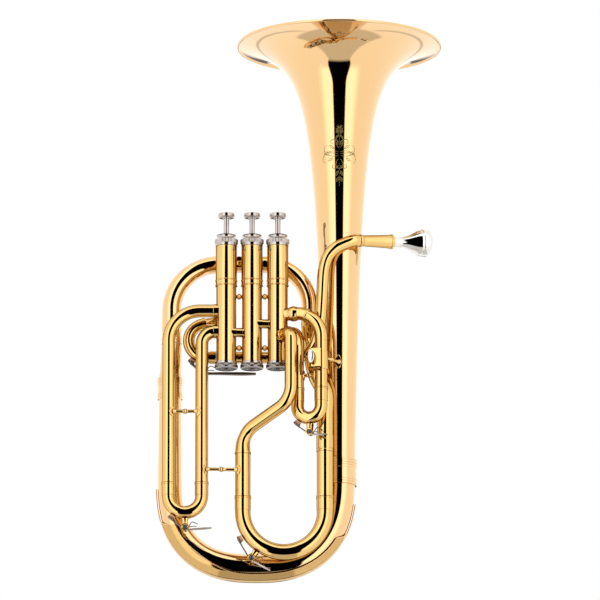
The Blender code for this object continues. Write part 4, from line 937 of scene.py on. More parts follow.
def guard_rows(lift, turns, widest=math.pi):
    """Rows of points across the guard, at a height over the bow's surface, no wider than an angle."""
    first, last = GUARD_SPAN
    across = np.array((0, 1, 0))
    rows = []
    for turn in turns:
        share = (turn - first) / (last - first)
        centre = bow_point(turn)
        along = unit(bow_point(min(turn + 0.01, math.pi)) - bow_point(max(turn - 0.01, 0.0)))
        outward = np.cross(along, across)
        if outward @ (centre - np.array((0, 0, BOW_CENTRE_Z))) < 0:
            outward = -outward
        half = min(widest, guard_half_angle(share))
        reach = bow_radius(turn) + GAP + GUARD_STAND_OFF + lift
        angles = half * np.linspace(-1, 1, GUARD_RIBS)
        rows.append([centre + (outward * math.cos(a) + across * math.sin(a)) * reach for a in angles])
    return np.array(rows)


class HORN_OT_main_bows(Operator):
    """Makes the bottom bow with its guard, the ferrules, the branch, the top bow and the return tube"""

    bl_idname = "horn.main_bows"
    bl_label = "Main bows"

    def execute(self, context):
        self.bottom_bow()
        self.guard()
        self.ferrules()
        self.branch_and_top_bow()
        self.return_tube()
        return {"FINISHED"}

    def bottom_bow(self):
        turns = np.linspace(0, math.pi, 73)
        rise = np.linspace(BOW_CENTRE_Z + 8, BOW_LEFT_TOP_Z, 8)
        foot, neck = (BELL_X, 0, BELL_FOOT_Z - GAP), [(-BELL_X, 0, z) for z in rise]
        points = np.array([foot, *(bow_point(turn) for turn in turns), *neck])
        ends = (BRANCH_LOW_RADIUS + 0.9, BRANCH_LOW_RADIUS)
        radii = [bell_radius(BELL_FOOT_Z), *(bow_radius(turn) for turn in turns)]
        radii += list(np.interp(rise, (BOW_CENTRE_Z, BOW_LEFT_TOP_Z), ends))
        marks = list(zip(lengths_along(points), radii))
        brass_tube("bottom_bow_tube", points, marks, "bottom_bow", "bell_lacquer")

    def guard(self):
        """The guard's sheet, with a wire along its edge and a line inside each side."""
        first, last = GUARD_SPAN
        turns = first + (last - first) * np.linspace(0, 1, GUARD_ROWS)
        low, high = guard_rows(0.0, turns), guard_rows(GUARD_THICKNESS, turns)
        count, ribs = low.shape[:2]
        points = np.concatenate([low.reshape(-1, 3), high.reshape(-1, 3)])
        offset = count * ribs
        faces = []
        for row in range(count - 1):
            for rib in range(ribs - 1):
                a, b = row * ribs + rib, (row + 1) * ribs + rib
                faces.append((a, b, b + 1, a + 1))
                faces.append((offset + a, offset + a + 1, offset + b + 1, offset + b))
        edge = [row * ribs for row in range(count)]
        edge += [(count - 1) * ribs + rib for rib in range(1, ribs)]
        edge += [row * ribs + ribs - 1 for row in range(count - 2, -1, -1)]
        edge += list(range(ribs - 2, 0, -1))
        for a, b in zip(edge, edge[1:] + edge[:1]):
            faces.append((a, b, offset + b, offset + a))
        fitted("bow_guard_sheet", (points, faces), "guard_lacquer", "bow_guard")
        inset = guard_rows(GUARD_THICKNESS, turns[18:-18], GUARD_LINE_ANGLE)
        wires = [wire_skin(high.reshape(-1, 3)[edge + edge[:1]], GUARD_EDGE_WIRE)]
        wires += [wire_skin(inset[:, side], GUARD_LINE_WIRE) for side in (0, -1)]
        fitted("bow_guard_edging", joined(wires), "bell_lacquer", body="horn", sharp=60)

    def ferrules(self):
        """Two sleeves with fine bands round both ends."""
        for joint, centre, length, inner in (
            ("bell", (BELL_X, 0, BELL_FOOT_Z), BELL_FERRULE_LENGTH, bell_radius(BELL_FOOT_Z) + 0.4),
            ("branch", (-BELL_X, 0, BOW_LEFT_TOP_Z), BRANCH_FERRULE_LENGTH, BRANCH_LOW_RADIUS + 0.2),
        ):
            low, high, half = inner - 0.25, inner + GAP + 0.7, length / 2
            band = length * 0.095
            wide = band * 0.84
            profile = [(low, -half)]
            for side, place in ((-1, 0.5), (-1, 1.5), (-1, 2.5), (1, 3.5), (1, 2.5), (1, 1.5), (1, 0.5)):
                start = side * (half - band * place) - band / 2
                profile += [
                    (high, start), (high + LIFT * 0.9, start + 0.15), (high + LIFT, start + wide * 0.5),
                    (high + LIFT * 0.9, start + wide - 0.15), (high, start + wide),
                ]
            profile.append((low, half))
            turned(f"{joint}_ferrule_sleeve", profile, centre, "bell_lacquer", f"{joint}_ferrule", steps=96)

    def branch_and_top_bow(self):
        foot = np.array((-BELL_X, 0, BOW_LEFT_TOP_Z + GAP))
        top = np.array((BRANCH_TOP[0], 0, BRANCH_TOP[1] - GAP))
        straight = np.array((0, 0, 3.0))
        marks = [(0, BRANCH_LOW_RADIUS)]
        for distance in (9.5, 11.4, 13.3):
            marks += bead(distance, BRANCH_LOW_RADIUS - 0.06, 1.3, 0.3)
        marks.append((-0.01, BRANCH_TOP_RADIUS))
        route = np.array([foot, foot + straight, top - straight, top])
        brass_tube("left_branch_tube", route, marks, "left_branch", "bell_lacquer")
        left, right = TOP_BOW_X
        route = filleted([
            ((BRANCH_TOP[0], 0, BRANCH_TOP[1]), 0),
            ((left, 0, TOP_BOW_Z), TOP_BOW_BENDS[0]),
            ((right, 0, TOP_BOW_Z), TOP_BOW_BENDS[1]),
            ((right, 0, TOP_BOW_END_Z), 0),
        ])
        thick = BRANCH_TOP_RADIUS + LIFT
        marks = stepped(
            0, thick, (0, -0.2), (0.2, 0), (1.6, 0), (1.65, -0.25), (4.3, -0.25), (4.35, 0), (5.9, 0)
        )
        marks += [(6.1, BRANCH_TOP_RADIUS - 0.1), (130, TOP_BOW_RADIUS), (-0.01, TOP_BOW_RADIUS)]
        brass_tube("top_bow_tube", route, marks, "top_bow", "bell_lacquer")

    def return_tube(self):
        right, top = TUNING_X[1], TUNING_TOPS[1]
        start = np.array((TOP_BOW_X[1], 0, TOP_BOW_END_Z - GAP))
        radius = TUNING_RADII[1]
        route = flowing([
            start - np.array((0, 0, 3.0)),
            *round_bell(radius, RETURN_HEIGHTS, RETURN_ANGLES, RETURN_CLEARANCES),
            at(right, TUNING_DEPTH, RETURN_FERRULE_Z + 22),
            at(right, TUNING_DEPTH, RETURN_FERRULE_Z),
        ])
        route = np.concatenate([[start], route, [at(right, TUNING_DEPTH, top + GAP)]])
        ferrule = stepped(
            top - RETURN_FERRULE_Z, radius,
            (0, 0), (0.1, LIFT), (13.2, LIFT), (13.3, 0.15), (14.6, 0.15),
        )
        marks = [(0, radius), *ferrule, (-1.5, radius + LIFT), (-0.01, radius + LIFT)]
        brass_tube("return_tube_bent", route, marks, "return_tube")


# Valves


class HORN_OT_valves(Operator):
    """Makes the valve casings with their caps and spacers and the valve springs, and finishes the pistons"""

    bl_idname = "horn.valves"
    bl_label = "Valve casings"

    def execute(self, context):
        for number, x in enumerate(VALVE_X, 1):
            origin = at(x, 0, 0)
            self.casing(number, origin)
            self.top_cap(number, origin, context.scene.horn_trim.knurls)
            self.bottom_cap(number, origin, context.scene.horn_trim.knurls)
            finishes = frame["nodes"][f"piston_{number}"].data.materials
            finishes.clear()
            finishes.append(finish_named("nickel_plate"))
            self.spring(number, origin)
        self.spacers()
        return {"FINISHED"}

    def casing(self, number, origin):
        bore, neck_bore, barrel = CASING_RADIUS - 0.7, NECK_RADIUS - 0.7, BARREL_RADIUS
        profile = [
            (NECK_RADIUS, CASING_TOP_Z), (NECK_RADIUS, BARREL_TOP_Z), (barrel - 0.15, BARREL_TOP_Z),
            (barrel, BARREL_TOP_Z - 0.3), (barrel, SEAT_Z + 6.6),
            *stepped(barrel + 0.6, SEAT_Z, (-0.25, 6.4), (0, 5.9), (-0.25, 5.3)),
            (barrel, SEAT_Z + 5.1), (barrel, SEAT_Z + 1.4),
            *stepped(barrel + 0.6, SEAT_Z, (-0.3, 1.2), (-0.05, 0.7), (-0.3, 0.15)),
            (CASING_RADIUS, SEAT_Z), (CASING_RADIUS, CASING_BOTTOM_Z), (bore, CASING_BOTTOM_Z),
            (bore, SEAT_Z), (SEAT_HOLE, SEAT_Z), (SEAT_HOLE, SEAT_Z + SEAT_HEIGHT),
            (neck_bore, SEAT_Z + SEAT_HEIGHT), (neck_bore, CASING_TOP_Z),
        ]
        node = f"valve_casing_{number}"
        turned(f"casing_{number}_barrel", profile, origin, "casing_lacquer", node, steps=72)

    def top_cap(self, number, origin, knurls):
        inner = NECK_RADIUS + GAP
        outer = inner + 1.2
        neck = outer * 0.82
        low = BARREL_TOP_Z + GAP
        grip_low, grip_high = (low + level for level in TOP_CAP_GRIP)
        shoulder = low + TOP_CAP_HEIGHT
        hole = STEM_RADIUS + GAP
        profile = [
            (hole, shoulder + 0.4), (neck, shoulder + 0.4), (neck, grip_high + 2.4),
            (neck + 0.2, grip_high + 1.9), *stepped(outer, grip_high, (-0.8, 0.9), (-0.15, 0.3), (0, 0)),
            *stepped(outer, grip_low, (0, 0.6), (-0.1, 0.2), (-0.5, -0.7)),
            *stepped(outer, low, (-0.75, 0.5), (-0.8, 0.05)),
            (inner, low), (inner, grip_high - 0.4), (hole, shoulder - 0.6),
        ]
        cap, knurl = f"top_cap_{number}", (grip_low + 0.5, grip_high + 0.1, 0.4, knurls)
        turned(f"{cap}_knurled", profile, origin, "nickel_plate", cap, knurl=knurl)
        # The dome is made in nickel darkened as painted shade.
        lip = neck + 0.25
        profile = [
            (hole, shoulder + 2.1), (hole + 0.4, shoulder + 2.2), (neck * 0.6, shoulder + 2.0),
            *stepped(lip, shoulder, (-0.5, 1.7), (0, 1.25), (0, 0.75), (-0.4, 0.45)),
            (hole, shoulder + 0.45),
        ]
        turned(f"{cap}_dome", profile, origin, "dark_nickel", body="horn")

    def bottom_cap(self, number, origin, knurls):
        inner = CASING_RADIUS + GAP
        band, grip = inner + 0.7, inner + 1.35
        floor = CASING_BOTTOM_Z - GAP
        split = floor + BOTTOM_CAP_GRIP
        profile = [
            (inner, BOTTOM_CAP_TOP_Z), (band - 0.25, BOTTOM_CAP_TOP_Z), (band, BOTTOM_CAP_TOP_Z - 0.25),
            (band, split + 0.3), (band - 0.2, split + 0.05), (inner, split),
        ]
        cap = f"bottom_cap_{number}"
        turned(f"{cap}_band", profile, origin, "nickel_plate", cap)
        under = floor - 1.5
        profile = [
            (inner, split), (band + 0.1, split - 0.05), (grip, split - 0.5),
            *stepped(grip, under, (0, 1.0), (-0.4, 0.35), (-1.2, 0.05), (-3.4, 0)),
            (5.2, under), (4.8, under + 0.4), (2.0, under + 0.4), (2.0, floor), (inner, floor),
        ]
        knurl = (under + 0.9, split - 0.4, 0.3, knurls)
        # The knurled grip is made in nickel darkened as painted shade.
        turned(f"{cap}_knurled", profile, origin, "dark_nickel", cap, knurl=knurl)

    def spring(self, number, origin):
        """A coil between the seat and the stem's collar."""
        low = SEAT_Z + SEAT_HEIGHT + GAP + SPRING_WIRE
        high = COLLAR_Z[0] - GAP - SPRING_WIRE
        steps = SPRING_TURNS * SPRING_STEPS
        route = []
        for step in range(steps + 1):
            turn = 2 * math.pi * step / SPRING_STEPS
            height = low + (high - low) * step / steps
            around = (SPRING_RADIUS * math.cos(turn), SPRING_RADIUS * math.sin(turn), height)
            route.append(origin + np.array(around))
        made = piece(f"valve_spring_{number}_coil", wire_skin(route, SPRING_WIRE, 10), "oiled_steel")
        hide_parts(f"valve_spring_{number}")
        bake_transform(made)

    def spacers(self):
        """Small turned spacers soldered between the casings, and one to the top bow."""
        parts = []
        half = (VALVE_X[0] - VALVE_X[1]) / 2 - CASING_RADIUS + 0.1
        ball = [(1.6, -2.1), (2.4, -1.5), (2.9, -0.6), (3.0, 0.0), (2.9, 0.6), (2.4, 1.5), (1.6, 2.1)]
        profile = [
            (0.0, -half), (1.9, -half), (1.95, -half + 0.35), (1.2, -half + 0.6), *ball,
            (1.2, half - 0.6), (1.95, half - 0.35), (1.9, half), (0.0, half),
        ]
        middles = [(VALVE_X[left] + VALVE_X[left - 1]) / 2 for left in (1, 2)]
        for middle in middles:
            for z in SPACER_Z:
                parts.append(turned_skin(profile, at(middle, 0, z), (1, 0, 0), steps=24, hollow=False))
        start = at(middles[1], 0, TOP_BOW_Z - 1.0)
        end = at(middles[1], -VALVE_Y - TOP_BOW_RADIUS + 0.4, TOP_BOW_Z)
        reach = np.linalg.norm(end - start)
        profile = [
            (0.0, 0.0), (2.0, 0.1), (2.7, 0.9), (3.0, 2.2), (2.7, 3.5), (1.9, 4.5), (1.5, 5.4),
            (1.5, reach - 2), (3.4, reach - 0.6), (3.4, reach), (0.0, reach),
        ]
        parts.append(turned_skin(profile, start, end - start, steps=24, hollow=False))
        rod = [(0.0, -4.6), (1.2, -4.6), (1.2, 4.6), (0.0, 4.6)]
        foot = start + unit(end - start) * 2.2
        parts.append(turned_skin(rod, foot, (1, 0, 0), steps=16, hollow=False))
        fitted("casing_spacers", joined(parts), "casing_lacquer", body="horn")


class HORN_OT_buttons(Operator):
    """Makes the stems and finger buttons"""

    bl_idname = "horn.buttons"
    bl_label = "Finger buttons"

    def execute(self, context):
        collar_radius = BARREL_RADIUS - 0.7 - 1.4
        rim, stem, top = BUTTON_RADIUS, STEM_RADIUS, BUTTON_Z + BUTTON_THICKNESS
        profile = [
            (0.0, top - 1.0), (rim * 0.5, top - 0.8), (rim * 0.8, top - 0.45),
            *stepped(rim, top, (-1.1, -0.05), (-0.6, 0), (-0.15, -0.35), (0, -1.0)),
            *stepped(rim, BUTTON_Z, (0, 1.3), (-0.2, 0.7), (-0.7, 0.2), (-1.4, 0)),
            *stepped(stem, BUTTON_Z, (1.0, 0.25), (0.9, -0.4), (0, -0.7)),
            (stem, COLLAR_Z[1]), (collar_radius, COLLAR_Z[1]), (collar_radius, COLLAR_Z[0]),
            (stem, COLLAR_Z[0]), (stem, PISTON_ROD_TOP_Z + GAP), (0.0, PISTON_ROD_TOP_Z + GAP),
        ]
        for number, x in enumerate(VALVE_X, 1):
            button = f"finger_button_{number}"
            turned(f"{button}_stem", profile, at(x, 0, 0), "nickel_plate", button, steps=64, hollow=False)
        return {"FINISHED"}


# Slides


def casing_cope(number):
    """Where a tube meets a casing, for coping."""
    return ((VALVE_X[number - 1], VALVE_Y), CASING_RADIUS - 0.35)


def collar(radius):
    """Marks of the solder collar where a tube leaves a casing."""
    return [(0.0, radius + COLLAR_LIFT), (1.5, radius + COLLAR_LIFT), (1.9, radius)]


def slide_bow(slide, left, right, pull, straight, inner, radii):
    """A slide's bow with its ferrules and the inner legs that it slides on."""
    pull = np.array(pull, float)
    bend = np.linalg.norm(right - left) / 2
    low = pull * (straight + bend)
    tops = left - pull * inner, right - pull * inner
    route = filleted([(tops[0], 0), (left + low, bend), (right + low, bend - 0.001), (tops[1], 0)])
    start = inner + GAP
    end = start + min(BOW_FERRULE_LENGTH, straight - 1)
    first, last = (
        [
            (0.01, radius - INNER_STEP), (start, radius - INNER_STEP), (start + 0.05, radius + LIFT + 0.3),
            (start + 1.2, radius + LIFT + 0.3), (start + 1.4, radius + LIFT - 0.1),
            (end - 0.2, radius + LIFT - 0.1), (end, radius),
        ]
        for radius in radii
    )
    marks = first + [(-distance, radius) for distance, radius in reversed(last)]
    brass_tube(f"{slide}_slide_crook", route, marks, f"{slide}_slide_bow")


def slide_leg(slide, side, route, marks, cope=None):
    """A slide's fixed tube, with the bead round its open end."""
    radius = marks[-1][1]
    marks = marks + [(-1.7, radius), (-1.6, radius + 0.5), (-0.2, radius + 0.55), (-0.01, radius + 0.3)]
    brass_tube(f"{slide}_slide_{side}_leg", route, marks, f"{slide}_slide_{side}_tube", cope=cope)


class HORN_OT_valve_slides(Operator):
    """Makes the three valve slides and the knuckles between the casings"""

    bl_idname = "horn.valve_slides"
    bl_label = "Valve slides"

    def execute(self, context):
        self.knuckles()
        self.third()
        self.first()
        self.second()
        return {"FINISHED"}

    def knuckles(self):
        thick = KNUCKLE_RADIUS + 0.3
        marks = [(0, thick), (0.9, thick), (1.0, KNUCKLE_RADIUS), (-0.01, KNUCKLE_RADIUS)]
        for right, z in zip((1, 2), KNUCKLE_Z):
            near, far = at(VALVE_X[right], KNUCKLE_DEPTHS[0], z), at(VALVE_X[right - 1], KNUCKLE_DEPTHS[1], z)
            middle = (near + far) / 2
            halves = []
            for number, foot in ((right + 1, near), (right, far)):
                end = foot + unit(middle - foot) * KNUCKLE_START
                route = np.array([end, (end + middle) / 2, middle])
                halves.append(tube_skin(route, marks, casing_cope(number)))
            name = f"knuckle_{right}_{right + 1}"
            fitted(f"{name}_tube", joined(halves), "tube_lacquer", name)

    def third(self):
        joints = [at(x, 0, THIRD_JOINT_Z) for x in THIRD_X]
        for side, joint, (z, bend), cut in (
            ("upper", joints[0], THIRD_UPPER, 59.0), ("lower", joints[1], THIRD_LOWER, 26.0),
        ):
            port, corner = at(VALVE_X[2] - 0.5, 0, z), at(joint[0], 0, z)
            route = trimmed(filleted([(port, 0), (corner, bend), (joint, 0)]), THIRD_START)
            marks = collar(LEG_RADIUS) + groove(cut, LEG_RADIUS, 0.18)
            slide_leg("third", side, route, marks, casing_cope(3))
        slide_bow("third", *joints, (0, 0, -1), THIRD_STRAIGHT, THIRD_INNER, (LEG_RADIUS, LEG_RADIUS))

    def first(self):
        left, right = (at(x, depth, FIRST_TOP_Z) for x, depth in zip(FIRST_X, FIRST_DEPTHS))
        drop = np.array((0, 0, FIRST_JOINT_Z - FIRST_TOP_Z))
        z, bend = FIRST_UPPER
        corner = np.array((right[0], right[1], z))
        upper = filleted([(at(VALVE_X[0] + 0.5, 0, z), 0), (corner, bend), (right + drop, 0)])
        port = at(VALVE_X[0], 0, FIRST_LOWER_Z)
        out = np.array((math.cos(FIRST_LOWER_ANGLE), math.sin(FIRST_LOWER_ANGLE), 0))
        lower = flowing([
            port + out * 0.5, port + out * (CASING_RADIUS + 1.9),
            *(left + np.array(via) for via in FIRST_LOWER_VIA), left, left + drop * 0.1,
        ])
        lower = np.concatenate([lower, [left + drop]])
        shares = np.linspace(0, 1, 11)
        swell = [(1.2 + 9.0 * share, LEG_RADIUS + 1.3 * math.sin(math.pi * share)) for share in shares]
        marks = [(0, LEG_RADIUS), *swell, *bead(20.0, LEG_RADIUS, 2.2, 0.7), *groove(53.0, LEG_RADIUS, 0.18)]
        for side, route, side_marks in (("upper", upper, marks), ("lower", lower, collar(LEG_RADIUS))):
            slide_leg("first", side, trimmed(route, FIRST_START), side_marks, casing_cope(1))
        joints = left + drop, right + drop
        slide_bow("first", *joints, (0, 0, -1), FIRST_STRAIGHT, FIRST_INNER, (LEG_RADIUS, LEG_RADIUS))

    def second(self):
        ends = [at(VALVE_X[1], SECOND_JOINT_DEPTH, z) for z in SECOND_Z]
        for side, end in zip(("upper", "lower"), ends):
            route = np.array([at(end[0], depth, end[2]) for depth in (SECOND_START, 18, SECOND_JOINT_DEPTH)])
            slide_leg("second", side, route, collar(LEG_RADIUS), casing_cope(2))
        slide_bow("second", *ends, (0, 1, 0), SECOND_STRAIGHT, SECOND_INNER, (LEG_RADIUS, LEG_RADIUS))


class HORN_OT_tuning_slide(Operator):
    """Makes the outlet from the first valve and the main tuning slide"""

    bl_idname = "horn.tuning_slide"
    bl_label = "Main tuning slide"

    def execute(self, context):
        for side, x, top, radius in zip(("left", "right"), TUNING_X, TUNING_TOPS, TUNING_RADII):
            route = np.array([at(x, TUNING_DEPTH, z) for z in (top, 105, TUNING_JOINT_Z)])
            slide_leg("tuning", side, route, [(0, radius)])
        joints = [at(x, TUNING_DEPTH, TUNING_JOINT_Z) for x in TUNING_X]
        slide_bow("tuning", *joints, (0, 0, -1), TUNING_STRAIGHT, TUNING_INNER, TUNING_RADII)
        route = filleted([
            (at(VALVE_X[0] + 0.3, -0.5, OUTLET[2]), 0),
            (at(*OUTLET), 9.0),
            (at(OUTLET[0], OUTLET[1], OUTLET_LOWER_Z), 24.0),
            (at(TUNING_X[0], TUNING_DEPTH, OUTLET_JOIN_Z), 24.0),
            (at(TUNING_X[0], TUNING_DEPTH, TUNING_TOPS[0] + GAP), 0),
        ])
        radius, wide = OUTLET_RADIUS, TUNING_RADII[0]
        marks = [
            *collar(radius), *groove(32.0, radius, 0.2), *groove(46.0, radius, 0.2), (-17, radius),
            (-5, wide - 0.2), (-2.2, wide - 0.1), (-2.1, wide + LIFT + 0.1), (-0.01, wide + LIFT + 0.1),
        ]
        route = trimmed(route, OUTLET_START)
        brass_tube("valve_outlet_bend", route, marks, "valve_outlet_tube", cope=casing_cope(1))
        return {"FINISHED"}


# Leadpipe, receiver and mouthpiece


def receiver_axis():
    """To the right, swept back round the bell towards the player, and rising a little."""
    level = math.cos(RECEIVER_RISE)
    right, back = math.cos(RECEIVER_SWEEP) * level, math.sin(RECEIVER_SWEEP) * level
    return np.array((right, back, math.sin(RECEIVER_RISE)))


def receiver_start():
    """The receiver's small end, in front of the bell and to its right."""
    reach = bell_radius(RECEIVER_Z) + PIPE_RADIUS + 4.3
    return np.array((RECEIVER_X, -math.sqrt(reach**2 - (RECEIVER_X - BELL_X) ** 2), RECEIVER_Z))


class HORN_OT_leadpipe(Operator):
    """Makes the leadpipe, its loop to the third valve and the mouthpiece receiver"""

    bl_idname = "horn.leadpipe"
    bl_label = "Leadpipe"

    def execute(self, context):
        start = receiver_start() - receiver_axis() * GAP
        run_start = at(VALVE_X[0] + CASING_RADIUS, RUN_DEPTH, RUN_Z)
        route = flowing([
            start - receiver_axis() * 1.5,
            start - receiver_axis() * 6.5,
            *round_bell(PIPE_RADIUS, PIPE_HEIGHTS, PIPE_ANGLES, PIPE_CLEARANCES),
            run_start + np.array((9.5, -3.4, 0.0)),
            run_start,
        ])
        route = np.concatenate([[start], route, [at(VALVE_X[2] - CASING_RADIUS, RUN_DEPTH, RUN_Z)]])
        brass_tube("leadpipe_bent", route, [(0, PIPE_RADIUS), (-0.01, PIPE_RADIUS)], "leadpipe")
        left, high = LOOP_X - LOOP_BEND, RUN_Z + 2 * LOOP_BEND
        route = filleted([
            (at(VALVE_X[2] - 0.4, 0.3, LOOP_END_Z), 0),
            (at(LOOP_X + 2, RUN_DEPTH - 0.5, high), 5.0),
            (at(left, RUN_DEPTH, high), LOOP_BEND - 0.01),
            (at(left, RUN_DEPTH, RUN_Z), LOOP_BEND),
            (at(VALVE_X[2] - CASING_RADIUS - GAP, RUN_DEPTH, RUN_Z), 0),
        ])
        slim = PIPE_RADIUS - 0.3
        marks = [*collar(slim), (16, slim), *stepped(
            0, PIPE_RADIUS, (16.1, 0.35), (18, 0.35), (18.1, 0), (-6.0, 0), (-5.9, 0.45), (-0.01, 0.45)
        )]
        route = trimmed(route, LOOP_START)
        brass_tube("leadpipe_loop_bent", route, marks, "leadpipe_loop", cope=casing_cope(3))
        self.receiver()
        return {"FINISHED"}

    def receiver(self):
        length = RECEIVER_LENGTH
        shank_end = length - SHANK_INSERTION
        profile = [
            *stepped(
                0, length, (5.3, 0), (7.0, 0), (7.3, -0.3), (7.3, -2.2), (7.0, -2.5), (6.65, -2.6),
                (6.65, -2.9), (6.9, -3.1), (6.3, -14.0),
            ),
            (5.55, 3.5), (5.25, 3.2), (5.25, 2.9), (6.0, 2.7), (6.2, 2.3), (6.2, 0.5), (5.9, 0.0),
            (4.35, 0.0), (4.35, shank_end - 2), (4.3, shank_end - 0.5),
        ]
        spin = {"axis": receiver_axis(), "steps": 64}
        turned("receiver_sleeve", profile, receiver_start(), "tube_lacquer", "mouthpiece_receiver", **spin)


class HORN_OT_mouthpiece(Operator):
    """Makes the silver mouthpiece"""

    bl_idname = "horn.mouthpiece"
    bl_label = "Mouthpiece"

    def execute(self, context):
        rim, cup, top = MOUTHPIECE_RIM, 9.0, MOUTHPIECE_LENGTH
        neck = SHANK_INSERTION + 8.5
        profile = [
            *stepped(
                rim, top, (-3.6, -0.15), (-2.5, 0), (-1.4, -0.35), (-0.5, -1.1), (-0.1, -2.2), (0, -3.2),
                (-0.1, -8.4), (-0.5, -9.2), (-0.9, -9.5), (-0.8, -10.2), (-1.2, -11.6), (-2.4, -14.0),
                (-4.2, -17.0), (-5.8, -20.0), (-7.2, -23.0), (-8.2, -26.0),
            ),
            *stepped(0, neck, (4.9, 1.4), (5.1, 1.0), (5.6, 0.6), (5.6, -0.4), (5.15, -0.8)),
            (5.05, SHANK_INSERTION + 3), (5.0, SHANK_INSERTION), (4.0, 0.2), (3.8, 0.0), (3.2, 0.0),
            (2.0, top - 26.0), (2.0, top - 20.0), (cup * 0.45, top - 16.5), (cup * 0.72, top - 13.0),
            (cup * 0.86, top - 9.0), (cup * 0.95, top - 4.5), (cup, top - 1.6), (cup + 0.5, top - 0.7),
        ]
        origin = receiver_start() + receiver_axis() * (RECEIVER_LENGTH - SHANK_INSERTION)
        spin = {"axis": receiver_axis(), "steps": 96}
        turned("mouthpiece_cup", profile, origin, "silver_plate", "mouthpiece", **spin)
        return {"FINISHED"}


# Braces


def brace_skin(start, end):
    """A turned rod that flares at both ends, with a bead between two rings in its middle."""
    length = np.linalg.norm(end - start)
    half = [(1.9, 0.9), (2.4, 0.9), (2.4, 1.4), (2.0, 1.9), (1.8, 2.2), (1.7, 2.6)]
    middle = length / 2
    profile = [(0.0, 0.0), (3.0, 0.0), (2.6, 0.8), (1.95, 2.0), (1.75, 3.4)]
    profile += [(radius, middle - place) for radius, place in reversed(half)]
    profile += stepped(0, middle, (2.6, -0.6), (2.8, 0), (2.6, 0.6))
    profile += [(radius, middle + place) for radius, place in half]
    profile += stepped(0, length, (1.75, -3.4), (1.95, -2.0), (2.6, -0.8), (3.0, 0), (0.0, 0))
    return turned_skin(profile, start, end - start, steps=32, hollow=False)


def foot_plate(axis, radius_at, angle, wide, tall):
    """An almond-shaped plate on an upright tube, at an angle from its front."""
    rows = []
    for lift, size in ((-0.3, 1.0), (0.7, 1.0), (0.95, 0.9)):
        outline = []
        for step in range(28):
            turn = 2 * math.pi * step / 28
            share = abs(math.sin(turn)) ** 1.2
            z = axis[2] + math.copysign(share, math.sin(turn)) * tall * size
            reach = radius_at(z) + lift
            around = angle + math.cos(turn) * wide * size * (1 - 0.12 * share) / reach
            outline.append((axis[0] + reach * math.sin(around), axis[1] - reach * math.cos(around), z))
        rows.append(outline)
    return solid(rows)


class HORN_OT_braces(Operator):
    """Makes the braces between the tubes"""

    bl_idname = "horn.braces"
    bl_label = "Braces"

    def execute(self, context):
        third = [at(x, 0, THIRD_BRACE_Z) for x in THIRD_X]
        tuning = [at(THIRD_X[1], 0, TUNING_BRACE_Z), at(TUNING_X[0], TUNING_DEPTH, TUNING_BRACE_Z)]
        first = [at(x, depth, FIRST_BRACE_Z) for x, depth in zip(FIRST_X, FIRST_DEPTHS)]
        self.slide_stay("third", third, (LEG_RADIUS, LEG_RADIUS), BRACE_FORWARD)
        self.slide_stay("tuning", tuning, (LEG_RADIUS, TUNING_RADII[0]), BRACE_FORWARD)
        self.slide_stay("first", first, (LEG_RADIUS, LEG_RADIUS), 0.0)
        self.bell_stay()
        return {"FINISHED"}

    def slide_stay(self, slide, legs, radii, forward):
        """A stay between two upright tubes, with a plate on each, some way in front of their middles."""
        across = unit(legs[1] - legs[0])
        lean = math.atan2(across[1], across[0])
        front = np.array((0, -forward, 0))
        ends, parts = [], []
        for leg, radius, side in zip(legs, radii, (1, -1)):
            reach = math.sqrt(radius**2 - forward**2)
            ends.append(leg + front + side * across * (reach - 0.3))
            angle = side * (math.pi / 2 - math.asin(forward / radius) + side * lean)
            angle -= side * PLATE_TURN if forward else 0.0
            parts.append(foot_plate(leg, lambda z, radius=radius: radius, angle, 3.3, 5.2))
        parts.append(brace_skin(*ends))
        fitted(f"{slide}_slide_stay", joined(parts), "tube_lacquer", f"{slide}_slide_brace")

    def bell_stay(self):
        leg = at(FIRST_X[1], FIRST_DEPTHS[1], BELL_BRACE_Z)
        seat = np.array((BELL_X + BELL_BRACE_SIDE, 0.4 - bell_radius(BELL_BRACE_Z), BELL_BRACE_Z))
        across = unit(seat - leg)
        angle = math.atan2(BELL_BRACE_SIDE, bell_radius(BELL_BRACE_Z))
        leg_angle = math.atan2(across[0], -across[1])
        parts = [
            brace_skin(leg + across * (LEG_RADIUS - 0.3), seat),
            foot_plate((BELL_X, 0, BELL_BRACE_Z), bell_radius, angle, 3.4, 7.2),
            foot_plate(leg, lambda z: LEG_RADIUS, leg_angle, 2.7, 4.7),
        ]
        fitted("bell_stay", joined(parts), "tube_lacquer", "bell_brace")


# Water keys


def key_bows():
    """For each key: its bow's centre, the direction across it and its outer radius."""
    legs = [at(x, depth, FIRST_JOINT_Z - FIRST_STRAIGHT) for x, depth in zip(FIRST_X, FIRST_DEPTHS)]
    spread = legs[1] - legs[0]
    across = np.array((1.0, 0, 0))
    tuning = at(sum(TUNING_X) / 2, TUNING_DEPTH, TUNING_JOINT_Z - TUNING_STRAIGHT)
    third = at(sum(THIRD_X) / 2, 0, THIRD_JOINT_Z - THIRD_STRAIGHT)
    return (
        ((legs[0] + legs[1]) / 2, unit(spread), np.linalg.norm(spread) / 2 + LEG_RADIUS),
        (tuning, across, (TUNING_X[1] - TUNING_X[0]) / 2 + TUNING_RADII[1]),
        (third, across, (THIRD_X[1] - THIRD_X[0]) / 2 + LEG_RADIUS),
        (at(LOOP_X, RUN_DEPTH, RUN_Z + LOOP_BEND), across, LOOP_BEND + PIPE_RADIUS),
    )


